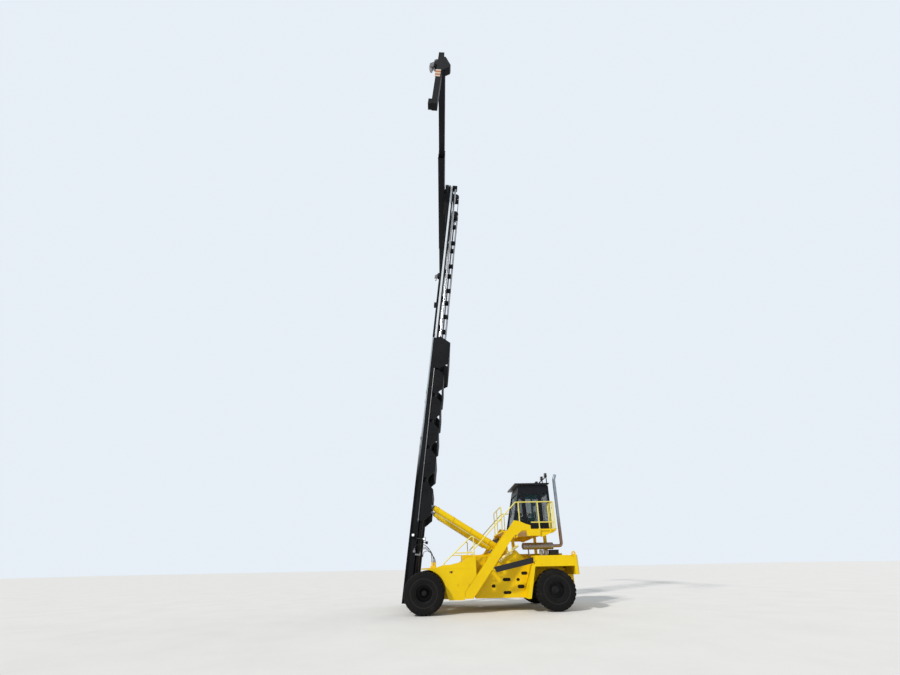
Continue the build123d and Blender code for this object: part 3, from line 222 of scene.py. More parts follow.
def paint(name, colour, shade, gloss, grime, grime_low, shine, bands=(), under=None, below=None,
          studs=0):
    """Sprayed enamel: slight cloudiness, orange peel, rain streaks and dust.

    grime is the streaks' colour and grime_low the noise at which they begin. A band is a painted
    highlight of the sun and sky on a flange that sliding also rubs bare: where it starts and ends
    ahead of the hinge and the heights up the mast between which it fades in. under is the colour
    of faces that look down. below is a direction, a place, a distance and the colour of all that
    lies further than that from the place. studs is how closely the raised studs of a deck plate
    follow each other.
    """
    look = Look(name)
    base = look.blended(look.ramp(look.noise(0.9, 4), 0.35, 0.7), colour, shade)
    streaks = look.noise(5.0, 5, 0.7, (3.0, 3.0, 0.35))
    base = look.blended(look.ramp(streaks, grime_low, 0.86), base, grime)
    # Painted highlight: pale bands on the flanges that fade in up the mast, their edges broken by
    # noise
    for start, end, low, high in bands:
        reach = look.along(ahead, hinge)
        wear = look.noise(14.0, 4, 0.6, (1, 1, 0.12))
        mask = look.product(look.ramp(reach, start - band_edge, start + band_edge),
                            look.ramp(reach, end + band_edge, end - band_edge),
                            look.ramp(look.along(up, hinge), low, high),
                            look.ramp(wear, 0.30, 0.42))
        base = look.blended(mask, base, flange_highlight)
    if below:
        direction, start, distance, tint = below
        mask = look.ramp(look.along(direction, start), distance - 0.001, distance + 0.001)
        base = look.blended(mask, base, tint)
    if under:
        normal = add_node(look.tree, "NewGeometry", {}).outputs["Normal"]
        upward = add_node(look.tree, "SeparateXYZ", {0: normal}).outputs["Z"]
        base = look.blended(look.ramp(upward, -0.5, -0.9), base, under)
    rough = look.spread(look.noise(26.0, 4), gloss - 0.06, gloss + 0.18)
    look.surface({"Base Color": base, "Roughness": rough, "Specular IOR Level": shine})
    if studs:
        inputs = {"Vector": look.place(), "Rotation": (0, 0, radians(45))}
        turned = add_node(look.tree, "Mapping", inputs).outputs["Vector"]
        rows = [look.ramp(look.wave(direction, studs, turned), 0.55, 0.80)
                for direction in ("X", "Y")]
        look.bump(look.product(*rows), 0.004, 0.6)
    else:
        look.bump(look.noise(90.0, 2), 0.0006, 0.35)
    return look.material


def metal(name, colour, rough, scratches=(1, 1, 12), shade=None, low_tint=None):
    """Bare or plated metal with fine drawn scratches.

    low_tint is the colour of the lower part and the heights between which it fades out.
    """
    look = Look(name)
    darker = shade or tuple(channel * 0.72 for channel in colour)
    base = look.blended(look.ramp(look.noise(7.0, 5), 0.4, 0.75), colour, darker)
    if low_tint:
        tint, low, high = low_tint
        base = look.blended(look.ramp(look.along(upright, (0, 0, 0)), low, high), tint, base)
    lines = look.noise(40.0, 3, 0.5, scratches)
    uneven = look.spread(lines, max(0.04, rough - 0.08), rough + 0.14)
    look.surface({"Base Color": base, "Metallic": 1.0, "Roughness": uneven})
    look.bump(lines, 0.0004, 0.3)
    return look.material


def rubber(name, colour=(0.0065, 0.006, 0.006), dust=(0.026, 0.024, 0.021), centre=None):
    """Black rubber with pale dust; round a wheel's centre it has a lighter raised ring and a
    scuffed tread.
    """
    look = Look(name)
    base = look.blended(look.ramp(look.noise(3.2, 6, 0.7), 0.50, 0.86), colour, dust)
    if centre:
        radius = look.off_axle(centre)
        ring = look.product(look.ramp(radius, 0.440, 0.456), look.ramp(radius, 0.492, 0.484))
        base = look.blended(ring, base, (0.018, 0.017, 0.017))
        base = look.blended(look.ramp(radius, 0.690, 0.716), base, (0.014, 0.0125, 0.012))
    look.surface({"Base Color": base, "Roughness": 0.8, "Specular IOR Level": 0.18})
    look.bump(look.noise(160.0, 3), 0.0012, 0.4)
    return look.material


def plastic(name, colour, rough=0.5):
    """Moulded plastic with a fine grain."""
    look = Look(name)
    lighter = tuple(min(1.0, channel * 1.35 + 0.01) for channel in colour)
    base = look.blended(look.ramp(look.noise(12.0, 4), 0.45, 0.8), colour, lighter)
    look.surface({"Base Color": base, "Roughness": rough, "Specular IOR Level": 0.35})
    look.bump(look.noise(320.0, 2), 0.0004, 0.4)
    return look.material


def weave(name, colour, lighter):
    """Woven seat cloth: two crossed waves for the threads, with a slow fade of the dye."""
    look = Look(name)
    base = look.blended(look.ramp(look.noise(9.0, 4), 0.4, 0.8), colour, lighter)
    threads = [look.wave(direction, 130, look.place()) for direction in ("Y", "DIAGONAL")]
    look.surface({"Base Color": base, "Roughness": 0.9, "Sheen Weight": 0.15})
    look.bump(look.product(*threads), 0.0015, 0.7)
    return look.material


def window_glass(name, tint, cover_low, cover_high):
    """Tinted pane: glossy, darker than clear, with a slightly uneven dusty film."""
    look = Look(name)
    film = look.noise(1.3, 3)
    pale = tuple(channel * 1.9 + 0.004 for channel in tint)
    look.surface({"Base Color": look.blended(look.ramp(film, 0.42, 0.72), tint, pale),
                  "Alpha": look.spread(film, cover_low, cover_high),
                  "Roughness": 0.04, "IOR": 1.5})
    return look.material


def hazard(name, first, second, period, start):
    """Level warning bands square to the mast, with a little wear."""
    look = Look(name)
    share = look.number("FRACT", look.number("DIVIDE", look.along(up, start), period))
    base = look.blended(look.ramp(share, 0.49, 0.51), first, second)
    scuffed = look.ramp(look.noise(22.0, 5), 0.64, 0.74)
    look.surface({"Base Color": look.blended(scuffed, base, (0.16, 0.14, 0.12)),
                  "Roughness": 0.42})
    return look.material


def lens(name, colour, glow):
    """A moulded lamp lens with fine ribs."""
    look = Look(name)
    deeper = tuple(channel * 0.7 for channel in colour)
    base = look.blended(look.ramp(look.noise(30.0, 3), 0.4, 0.7), colour, deeper)
    look.surface({"Base Color": base, "Roughness": 0.12, "Coat Weight": 0.6,
                  "Emission Color": (*colour, 1), "Emission Strength": glow})
    look.bump(look.wave("Z", 40, look.place()), 0.002, 0.5)
    return look.material


# Enamels: colour, shade, gloss, grime, where grime begins, shine
yellow, shaded = (0.86, 0.59, 0.0012), (0.80, 0.53, 0.0008)
enamels = {
    "body": (yellow, shaded, 0.34, (0.46, 0.31, 0.02), 0.66, 0.22),
    "deck": (yellow, shaded, 0.38, (0.40, 0.27, 0.02), 0.60, 0.22),
    "cast": ((0.85, 0.575, 0.0015), (0.78, 0.51, 0.001), 0.40, (0.42, 0.29, 0.02), 0.64, 0.22),
    "rail": ((0.84, 0.73, 0.17), (0.78, 0.66, 0.12), 0.36, (0.45, 0.38, 0.16), 0.64, 0.3),
    "mast": ((0.0045, 0.005, 0.0065), (0.009, 0.0095, 0.012), 0.46, (0.030, 0.029, 0.028), 0.66,
             0.16),
    "cab": ((0.006, 0.007, 0.011), (0.010, 0.011, 0.016), 0.30, (0.03, 0.03, 0.03), 0.66, 0.25),
    "rim": ((0.006, 0.006, 0.007), (0.012, 0.012, 0.012), 0.46, (0.060, 0.055, 0.050), 0.60,
            0.25),
    "grey": ((0.040, 0.042, 0.045), (0.028, 0.028, 0.030), 0.5, (0.09, 0.08, 0.065), 0.57, 0.3),
    "plate": ((0.013, 0.013, 0.016), (0.020, 0.020, 0.023), 0.30, (0.05, 0.05, 0.05), 0.66,
              0.35),
}


def enamel(kind, name=None, **extras):
    """One of the enamels, plain or under another name with some of paint's extras."""
    return paint((name or kind) + "_enamel", *enamels[kind], **extras)


# Warning plates: the height up the mast where their bands start, and one pair's height
hazard_foot = 20.70
hazard_period = 0.20

rail_yellow = enamel("rail")
# Pale stripe along the barrels' lower flank: it stands for a pale pipe there, with its sunlit
# highlight painted in
barrel_yellow = enamel("body", "barrel", below=(across.cross(tilt_dir), tilt_base, 0.1275,
                                                (0.60, 0.60, 0.34)))
black = enamel("mast", "black")
dark_grey = enamel("grey")
oiled_steel = metal("oiled_steel", (0.045, 0.045, 0.048), 0.34)
lamp_lens = lens("lamp_lens", (0.90, 0.92, 0.95), 0.35)
red_lens = lens("red_lens", (0.55, 0.010, 0.010), 0.05)
amber_lens = lens("amber_lens", (0.75, 0.22, 0.01), 0.05)
pale_shell = plastic("pale_shell", (0.66, 0.67, 0.68), 0.45)
# Painted shade for the floors of the access holes, which lie in shade
painted_hole_shade = plastic("painted_hole_shade", (0.012, 0.010, 0.006), 0.8)
sleeve_cream = plastic("sleeve_cream", (0.80, 0.72, 0.30), 0.6)

# The look of each material slot, and of the nodes that have one of their own
looks = {
    "yellow_paint": enamel("body", "yellow"),
    "black_paint": black,
    "cab_paint": enamel("cab"),
    "rim_paint": enamel("rim"),
    "cast": enamel("cast"),
    "grey_paint": dark_grey,
    "steel": metal("bare_steel", (0.34, 0.34, 0.35), 0.36),
    "chrome": metal("hard_chrome", (0.42, 0.43, 0.45), 0.16),
    "exhaust_steel": metal("heat_steel", (0.34, 0.31, 0.29), 0.46, (4, 4, 1), (0.24, 0.20, 0.18)),
    "tyre": rubber("tyre_rubber"),
    "glass": window_glass("tinted_glass", (0.006, 0.030, 0.036), 0.28, 0.42),
    "seat_fabric": weave("seat_weave", (0.030, 0.031, 0.036), (0.055, 0.056, 0.062)),
    "plastic": plastic("moulded_plastic", (0.030, 0.030, 0.033)),
    "lamp": plastic("lamp_housing", (0.035, 0.035, 0.040), 0.38),
    "plate_blank": enamel("plate"),
    "hose_rubber": rubber("hose_rubber", (0.020, 0.020, 0.022), (0.10, 0.10, 0.10)),
    "hazard_paint": hazard("hazard_bands", (0.62, 0.54, 0.44), (0.50, 0.12, 0.010),
                           hazard_period, on_mast(0, 0, hazard_foot)),
}
own_looks = {
    "railings": rail_yellow,
    "cab_platform": enamel("deck", studs=7.0),
    "cab_roof": enamel("cab", "roof", under=(0.085, 0.078, 0.098)),
    # The masts' pale bands are a painted highlight of sun and sky on the flanges
    "outer_mast": enamel("mast", "outer_mast", bands=[(0.375, 0.47, 4.2, 7.2)]),
    "inner_mast": enamel("mast", "inner_mast", bands=[(0.250, 0.350, 10.70, 10.80)]),
    "tilt_barrel_left": barrel_yellow,
    "tilt_barrel_right": barrel_yellow,
    "exhaust_stack": metal("stack_steel", (0.50, 0.55, 0.60), 0.14, (1, 1, 8),
                           low_tint=((0.36, 0.24, 0.17), 2.7, 3.5)),
}


def dress(data, look):
    """Give a mesh its only material, smooth faces and sharp edges."""
    data.materials.clear()
    data.materials.append(look)
    data.shade_smooth()
    data.set_sharp_from_angle(angle=smooth_angle)


for name, node in frame["nodes"].items():
    dress(node.data, own_looks.get(name, looks[node_slots[name]]))


# Mesh making

def join_rings(mesh, rings, closed=True):
    """Faces from each ring of vertices to the next, and over both ends."""
    for low, high in zip(rings, rings[1:]):
        for i in range(len(low)):
            j = (i + 1) % len(low)
            mesh.faces.new((low[i], low[j], high[j], high[i]))
    if closed:
        mesh.faces.new(rings[0][::-1])
        mesh.faces.new(rings[-1])


def add_prism(mesh, outline, y0, y1):
    """A flat outline of places ahead of the front axle and heights, between two sides."""
    join_rings(mesh, [[mesh.verts.new(at(x, y, z)) for x, z in outline] for y in (y0, y1)])


def add_block(mesh, middle, size, bevel=0.004, axes=level):
    """A block with rounded edges, square to three directions."""
    turn = Matrix(axes).transposed().to_4x4()
    place = Matrix.Translation(middle) @ turn @ Matrix.Diagonal((*size, 1))
    verts = bmesh.ops.create_cube(mesh, size=1, matrix=place)["verts"]
    edges = list({edge for vert in verts for edge in vert.link_edges})
    bmesh.ops.bevel(mesh, geom=edges, offset=bevel, segments=2, affect="EDGES", profile=0.5)


def add_ring(mesh, middle, axis, aside, radius, sides):
    """A ring of vertices round an axis, the first of them on the side of aside."""
    other = axis.cross(aside)
    return [mesh.verts.new(middle + (aside * cos(turn) + other * sin(turn)) * radius)
            for turn in [tau * i / sides for i in range(sides)]]


def add_turned(mesh, start, axis, profile, sides=28, closed=True):
    """A body turned about an axis: the profile gives distance along it and radius."""
    axis = axis.normalized()
    aside = axis.orthogonal().normalized()
    join_rings(mesh, [add_ring(mesh, start + axis * reach, axis, aside, radius, sides)
                      for reach, radius in profile], closed)


def add_bolt(mesh, foot, axis, radius):
    """A hexagon head on a round washer."""
    add_turned(mesh, foot, axis, ((0, radius * 1.35), (radius * 0.25, radius * 1.35)), 16)
    head = foot + axis.normalized() * radius * 0.25
    add_turned(mesh, head, axis, ((0, radius), (radius * 0.75, radius), (radius, radius * 0.8)), 6)


def add_tube(mesh, points, radius, sides):
    """A round tube through points, with its ring kept from twisting."""
    axis = (points[1] - points[0]).normalized()
    aside = axis.orthogonal().normalized()
    rings = []
    for index, point in enumerate(points):
        before = points[max(index - 1, 0)]
        after = points[min(index + 1, len(points) - 1)]
        axis = (after - before).normalized()
        aside = (aside - axis * aside.dot(axis)).normalized()
        rings.append(add_ring(mesh, point, axis, aside, radius, sides))
    join_rings(mesh, rings)


def finish_piece(name, mesh, body, slot, look=None):
    """Turn a bmesh into a piece that rides on a body, with its material."""
    bmesh.ops.recalc_face_normals(mesh, faces=mesh.faces)
    data = bpy.data.meshes.new(name)
    mesh.to_mesh(data)
    mesh.free()
    dress(data, look or looks[slot])
    piece = bpy.data.objects.new(name, data)
    bpy.context.scene.collection.objects.link(piece)
    if body:
        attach(piece, body)
    return piece


# Tyres: a turned carcass with raised rings on the sides, and two rows of slanted lugs
# Carcass: distance in from the outer side, radius
half_carcass = (
    (0.034, 0.3262), (0.010, 0.332), (0.001, 0.350), (-0.002, 0.375), (0.000, 0.400),
    (-0.004, 0.446), (-0.012, 0.452), (-0.012, 0.486), (-0.004, 0.492), (-0.003, 0.545),
    (-0.008, 0.552), (-0.008, 0.560), (-0.002, 0.566), (0.002, 0.615), (0.014, 0.652),
    (0.036, 0.680), (0.080, 0.692), (0.150, 0.696),
)
# Lugs: distance in from the outer side, inner radius, outer radius
lug_stations = (
    (0.003, 0.634, 0.650), (0.016, 0.650, 0.684), (0.044, 0.676, 0.706),
    (0.085, 0.688, 0.7150), (0.186, 0.690, 0.7192),
)
lug_end = lug_stations[-1][0]
lug_count = 28
lug_pitch = tau / lug_count
lug_width = 0.60 * lug_pitch
lug_skew = 0.34 * lug_pitch
# Half widths of a lug at its root and at its top, as shares of its width
lug_root, lug_top = 0.56, 0.5


def add_lug(mesh, start, hand, row, turn):
    """One slanted lug of the outer or inner row, turned round the tyre from +X."""
    sections = []
    for inward, low, high in lug_stations:
        side = start - across * hand * (tyre_w - inward if row else inward)
        middle = turn + lug_skew * (inward / lug_end) ** 1.5
        section = []
        for radius, share in ((low, lug_root), (high, lug_top), (high, -lug_top),
                              (low, -lug_root)):
            angle = middle + share * lug_width
            spoke = Vector((cos(angle), 0, sin(angle)))
            section.append(mesh.verts.new(side + spoke * radius))
        sections.append(section)
    for one, two in zip(sections, sections[1:]):
        for k in range(3):
            mesh.faces.new((one[k], one[k + 1], two[k + 1], two[k]))
    mesh.faces.new(sections[0])
    mesh.faces.new(sections[-1][::-1])


def add_tyre(mesh, x, face, hand):
    """One tyre, whose outer side is at face."""
    profile = list(half_carcass)
    profile += [(tyre_w - inward, radius) for inward, radius in reversed(half_carcass)]
    start = at(x, hand * face, wheel_z)
    add_turned(mesh, start, -hand * across, profile, 96, closed=False)
    for row in (0, 1):
        for i in range(lug_count):
            add_lug(mesh, start, hand, row, (i + 0.5 * row) * lug_pitch)


# Wheel discs: how far in from the tyre's outer side they lie
front_dish, rear_dish = 0.34, 0.20
# Hub covers: distance out from the wheel disc, radius
front_cover = ((0.0905, 0.128), (0.110, 0.128), (0.118, 0.120), (0.150, 0.108), (0.172, 0.090),
               (0.178, 0.060), (0.190, 0.056), (0.192, 0.020))
rear_cover = ((0.0905, 0.090), (0.104, 0.090), (0.112, 0.082), (0.124, 0.078), (0.128, 0.030))
# Rings of nuts: how many, the ring's radius, distance out from the disc, a nut's radius
nut_rings = ((20, 0.222, 0.020, 0.016), (12, 0.142, 0.060, 0.010))
# Rim rings: distance in from the tyre's outer side, radius
rim_rings = ((0.030, 0.3235), (0.036, 0.308))


def add_nuts(mesh, middle, outward, count, ring, size, first=0.5):
    """A ring of nuts; first is the share of a step at which they begin."""
    for i in range(count):
        angle = tau * (i + first) / count
        add_bolt(mesh, middle + Vector((cos(angle), 0, sin(angle))) * ring, outward, size)


def dress_wheel(name, x, faces, dish, hand, cover):
    """Tyres, rim rings, hub cover and nuts of one wheel or pair, which is a body of its own."""
    mesh = bmesh.new()
    for face in faces:
        add_tyre(mesh, x, face, hand)
    tyres = finish_piece(name + "_tyre_dressed", mesh, name, "tyre",
                         rubber(name + "_rubber", centre=(at(x, 0, 0).x, 0, wheel_z)))
    node = name.replace("front_wheels", "front_tyres").replace("rear_wheel", "rear_tyre")
    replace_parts(tyres, node)
    mesh = bmesh.new()
    outward = hand * across
    for inward, radius in rim_rings:
        add_turned(mesh, at(x, hand * (faces[0] - inward), wheel_z), outward,
                   ((0, radius - 0.018), (0, radius), (0.010, radius), (0.016, radius - 0.006),
                    (0.012, radius - 0.018)), 72, closed=False)
    hub = at(x, hand * (faces[0] - dish), wheel_z)
    add_turned(mesh, hub, outward, cover, 40)
    for count, ring, reach, size in nut_rings:
        add_nuts(mesh, hub + outward * reach, outward, count, ring, size)
    cover_reach, cover_r = cover[1]
    add_nuts(mesh, hub + outward * cover_reach, outward, 8, cover_r - 0.016, 0.007, first=0)
    finish_piece(name + "_hub_trim", mesh, name, "rim_paint")


for side, hand in hands:
    dress_wheel("front_wheels_" + side, 0, (front_face, inner_twin_face), front_dish, hand,
                front_cover)
    dress_wheel("rear_wheel_" + side, rear_x, (rear_face,), rear_dish, hand, rear_cover)


# Leaf chains: plates side by side on pins, along each strand's route
chain_y, chain_u, sheave_u, sheave_w = 0.52, -0.130, 0.067, 21.290
wrap_r = 0.197
chain_low, short_low, short_u = 10.700, 20.410, 0.2643
link_pitch = 0.050
plate_rows = ((-0.036, -0.018, 0.0, 0.018, 0.036), (-0.027, -0.009, 0.009, 0.027))
plate_half = 0.004
pin_half, pin_r = 0.0445, 0.007
# A plate's upper edge and its two ends: along the link from its middle, out from it
half_link = link_pitch / 2
plate_edge = ((-half_link - 0.006, 0.0155), (-half_link + 0.008, 0.0155), (0, 0.0115),
              (half_link - 0.008, 0.0155), (half_link + 0.006, 0.0155))
plate_outline = ((-half_link - 0.012, 0), *plate_edge, (half_link + 0.012, 0),
                 *[(s, -t) for s, t in reversed(plate_edge)])


def add_link(mesh, middle, direction, outward, number):
    """One link: its plates, flat and waisted, and the pin at its end."""
    for row in plate_rows[number % 2]:
        join_rings(mesh, [[mesh.verts.new(middle + direction * s + outward * t + across * y)
                           for s, t in plate_outline]
                          for y in (row - plate_half, row + plate_half)])
    add_turned(mesh, middle + direction * half_link - across * pin_half, across,
               ((0, pin_r), (2 * pin_half, pin_r)), 6)


def make_chain(name, node, body, places):
    """Places list, per link, how far ahead and up the mast it lies and how it is turned."""
    mesh = bmesh.new()
    for y in (-chain_y, chain_y):
        for number, (u, w, turn) in enumerate(places):
            direction = up * cos(turn) + ahead * sin(turn)
            outward = ahead * cos(turn) - up * sin(turn)
            add_link(mesh, on_mast(u, y, w), direction, outward, number)
    piece = finish_piece(name, mesh, body, "steel", oiled_steel)
    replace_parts(piece, node)


def straight_run(u, low, high):
    """Links in a line up the mast, as many as fit."""
    count = int((high - low) / link_pitch)
    return [(u, low + (i + 0.5) * link_pitch, 0) for i in range(count)]


long_places = straight_run(chain_u, chain_low, sheave_w)
wrap_links = int(pi * wrap_r / link_pitch)
for i in range(wrap_links):
    turn = pi * (i + 0.5) / wrap_links
    long_places.append((sheave_u - wrap_r * cos(turn), sheave_w + wrap_r * sin(turn), turn))
make_chain("leaf_chain_long", "chains_long", "mast_stage", long_places)
make_chain("leaf_chain_short", "chains_short", "lift_carriage",
           straight_run(short_u, short_low, sheave_w - 0.02))


# Hoses between the shelf and the mast: the routes are the solids' own
hose_r = 0.012
shelf_port = 1.7503
front_route = ((0.4108, 2.1886), (0.3956, 2.3378), (0.240, 2.415), (0.060, 2.400),
               (-0.120, 2.280), (-0.225, 2.110), (-0.258, 1.930), (-0.258, shelf_port))
rear_route = ((0.1986, 2.0514), (0.1895, 2.1409), (0.125, 2.222), (0.020, 2.250),
              (-0.095, 2.205), (-0.190, 2.115), (-0.270, 2.000), (-0.350, 1.870),
              (-0.350, shelf_port))
hoses = (("front", front_route, 1.150), ("rear", rear_route, 1.100))
# Fittings: how far past the hose's end they start, profile, sides
fitting_nut = (-0.004, ((0, 0.024), (0.024, 0.024), (0.028, 0.021)), 6)
fitting_sleeve = (0.024, ((0, 0.0175), (0.050, 0.0175), (0.056, 0.0135)), 20)


def smooth_line(points):
    """Points along the smooth curve that a route's points control."""
    curve = bpy.data.curves.new("route", "CURVE")
    curve.dimensions = "3D"
    curve.resolution_u = 12
    spline = curve.splines.new("NURBS")
    spline.points.add(len(points) - 1)
    for control, point in zip(spline.points, points):
        control.co = (*point, 1)
    spline.order_u = 3
    spline.use_endpoint_u = True
    holder = bpy.data.objects.new("route", curve)
    bpy.context.scene.collection.objects.link(holder)
    bpy.context.view_layer.update()
    drawn = bpy.data.meshes.new_from_object(holder)
    line = [vert.co.copy() for vert in drawn.vertices]
    bpy.data.objects.remove(holder)
    bpy.data.curves.remove(curve)
    bpy.data.meshes.remove(drawn)
    return line


def make_hose(node, route, y):
    """One hose from the chassis to the mast; gives back its line from the mast."""
    line = smooth_line([at(x, y, z) for x, z in route])
    mesh = bmesh.new()
    add_tube(mesh, line, hose_r, 12)
    piece = finish_piece("pressure_" + node, mesh, None, "hose_rubber")
    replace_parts(piece, node)
    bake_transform(piece)
    return line


for side, hand in hands:
    fittings = {"chassis": bmesh.new(), "mast": bmesh.new()}
    for place, route, y in hoses:
        line = make_hose("hose_" + side + "_" + place, route, hand * y)
        for body, end, inward in (("mast", line[0], line[1] - line[0]),
                                  ("chassis", line[-1], line[-2] - line[-1])):
            inward.normalize()
            for reach, profile, sides in (fitting_nut, fitting_sleeve):
                add_turned(fittings[body], end + inward * reach, inward, profile, sides)
    for body, mesh in fittings.items():
        finish_piece("hose_fittings_" + side + "_" + body, mesh, body, "steel")


# Seat: pads of crowned foam with sewn channels, on a ribbed pedestal
seat_low, seat_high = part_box("driver_seat")
seat_mid_x = seat_high.x - 0.28
recline = radians(10)
back_axes = (Vector((-sin(recline), 0, cos(recline))), across,
             Vector((cos(recline), 0, sin(recline))))
# Pads, before they are stretched to their size: how square, crown, how far the sides pull in
pad_power, pad_crown, pad_pull = 7, 0.14, 0.035
# Sewn channels: depth and half width of those across, then of the two along at pad_side
cross_depth, cross_half, long_depth, long_half, pad_side = 0.16, 0.07, 0.10, 0.05, 0.72


def on_seat(x, y, z):
    """A point given ahead of the seat's middle, from the centre plane and above its foot."""
    return Vector((seat_mid_x + x, y, seat_low.z + z))


def groove(distance, half_width):
    """1 in the middle of a sewn channel, 0 past its edge."""
    return max(0, 1 - (distance / half_width) ** 2)


def add_pad(mesh, middle, size, axes, channels):
    """A crowned cushion: its sides pull in, its back is flat, and channels cross its face."""
    present = set(mesh.verts)
    verts = bmesh.ops.create_cube(mesh, size=2)["verts"]
    edges = list({edge for vert in verts for edge in vert.link_edges})
    bmesh.ops.subdivide_edges(mesh, edges=edges, cuts=17, use_grid_fill=True)
    for vert in [vert for vert in mesh.verts if vert not in present]:
        total = sum(abs(share) ** pad_power for share in vert.co) ** (-1 / pad_power)
        x, y, z = [share * total for share in vert.co]
        if z > 0:
            z += pad_crown * ((1 - x * x) * (1 - y * y))
            for channel in channels:
                z -= cross_depth * groove(x - channel, cross_half) * (z > 0.6)
            z -= long_depth * groove(abs(y) - pad_side, long_half) * (z > 0.6)
        x *= 1 - pad_pull * (1 - y * y)
        y *= 1 - pad_pull * (1 - x * x)
        spot = (x * size[0] / 2, y * size[1] / 2, z * size[2] / 2)
        vert.co = middle + sum((axis * share for axis, share in zip(axes, spot)), Vector())


mesh = bmesh.new()
add_pad(mesh, on_seat(-0.02, 0, 0.405), (0.52, 0.49, 0.13), level, (-0.45, 0.05, 0.5))
cushion = finish_piece("seat_cushion", mesh, "chassis", "seat_fabric")
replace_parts(cushion, "driver_seat")
mesh = bmesh.new()
add_pad(mesh, on_seat(-0.285, 0, 0.76), (0.62, 0.47, 0.12), back_axes, (-0.5, 0.0, 0.5))
add_pad(mesh, on_seat(-0.345, 0, 1.04), (0.13, 0.28, 0.09), back_axes, ())
finish_piece("seat_back", mesh, "chassis", "seat_fabric")
mesh = bmesh.new()
for i in range(7):
    rib = 0.36 - 0.03 * (i % 2)
    add_block(mesh, on_seat(-0.04, 0, 0.045 + i * 0.04), (rib, rib, 0.05), 0.012)
add_block(mesh, on_seat(-0.03, 0, 0.325), (0.44, 0.42, 0.035), 0.008)
for y in (-0.27, 0.27):
    add_block(mesh, on_seat(-0.12, y, 0.60), (0.30, 0.055, 0.05), 0.02)
    add_block(mesh, on_seat(-0.27, y, 0.54), (0.05, 0.04, 0.20), 0.015)
finish_piece("seat_base", mesh, "chassis", "plastic")

# Cab trim: window seals, whose strips lie just inside the openings
cab_sill, cab_head = 3.230, 4.400
cab_side, cab_back, back_half = 0.727, -5.098, 0.645
side_panes = ((-4.985, -4.815), (-3.915, -3.855))
seal_inset, seal_w, seal_post, seal_out = 0.012, 0.018, 0.016, 0.022
pane_z = (cab_sill + cab_head) / 2
mesh = bmesh.new()
for z in (cab_sill + seal_inset, cab_head - seal_inset):
    add_block(mesh, at(cab_back, 0, z), (seal_out, 1.28, seal_w))
    for hand in both_sides:
        for x0, x1 in side_panes:
            add_block(mesh, at((x0 + x1) / 2, hand * cab_side, z), (x1 - x0, seal_out, seal_w))
for hand in both_sides:
    add_block(mesh, at(cab_back, hand * back_half, pane_z), (seal_out, seal_post, 1.14))
    for pane in side_panes:
        for x in pane:
            add_block(mesh, at(x, hand * cab_side, pane_z),
                      (seal_post, seal_out, cab_head - cab_sill - 0.03))
finish_piece("window_seals", mesh, "chassis", "plastic")

# Wiper on the sloping front pane
screen_low, screen_high = at(-3.505, 0, 3.05), at(-3.775, 0, 4.38)
screen_up = (screen_high - screen_low).normalized()
screen_out = across.cross(screen_up)
pivot = screen_low + across * 0.1 + screen_out * 0.045
pivot_boss = ((0, 0.028), (0.045, 0.028), (0.055, 0.018))
arm_r, blade_size = 0.009, (0.62, 0.018, 0.022)
arm_bend = pivot + screen_up * 0.35 + across * 0.04
arm_end = pivot + screen_up * 0.72 + across * 0.10 - screen_out * 0.012
mesh = bmesh.new()
add_turned(mesh, pivot - screen_out * 0.03, screen_out, pivot_boss, 16)
add_tube(mesh, [pivot, arm_bend, arm_end], arm_r, 8)
add_block(mesh, arm_end - screen_out * 0.014, blade_size, axes=(screen_up, across, screen_out))
finish_piece("wiper", mesh, "chassis", "plastic")

# Platform trim: feet of the railings' posts, and bolts along the deck's edge
deck_top, post_y = 2.850, 1.648
foot_size = (0.10, 0.075, 0.012)
mesh = bmesh.new()
for hand in both_sides:
    for x in (-3.600, -4.335, -4.930):
        foot = at(x, hand * post_y, deck_top)
        add_block(mesh, foot + upright * foot_size[2] / 2, foot_size, 0.003)
        for dx in (-0.035, 0.035):
            add_bolt(mesh, foot + forward * dx + upright * foot_size[2], upright, 0.008)
    for x, z in ((-3.45, 2.925), (-3.72, 2.925), (-4.05, 2.75), (-4.28, 2.75)):
        add_bolt(mesh, at(x, hand * side_y, z), hand * across, 0.012)
finish_piece("platform_trim", mesh, "chassis", "yellow_paint", rail_yellow)

# Blank plates between the stairs and the mudguards, with their tabs in the body's colour
blank_outline = ((-2.605, 1.345), (-2.514, 1.531), (-3.971, 1.848), (-3.971, 1.640))
blank_inset = ((-2.590, 1.362), (-2.520, 1.508), (-3.957, 1.828), (-3.957, 1.655))
blank_out, inset_out = 0.009, 0.012
tab_mid, tab_thick = 0.006, 0.010
plates, tabs = bmesh.new(), bmesh.new()
for hand in both_sides:
    add_prism(plates, blank_outline, hand * side_y, hand * (side_y + blank_out))
    add_prism(plates, blank_inset, hand * (side_y + blank_out), hand * (side_y + inset_out))
    for x0, x1, z0, z1 in ((-2.560, -2.40, 1.420, 1.460), (-4.090, -3.975, 1.720, 1.760)):
        add_block(tabs, at((x0 + x1) / 2, hand * (side_y + tab_mid), (z0 + z1) / 2),
                  (x1 - x0, tab_thick, z1 - z0), 0.003)
    for x, z in ((-4.035, 1.740), (-2.47, 1.440)):
        foot = at(x, hand * (side_y + tab_mid + tab_thick / 2), z)
        add_bolt(tabs, foot, hand * across, 0.010)
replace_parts(finish_piece("side_plates", plates, "chassis", "plate_blank"), "name_plates")
finish_piece("side_plate_tabs", tabs, "chassis", "yellow_paint")
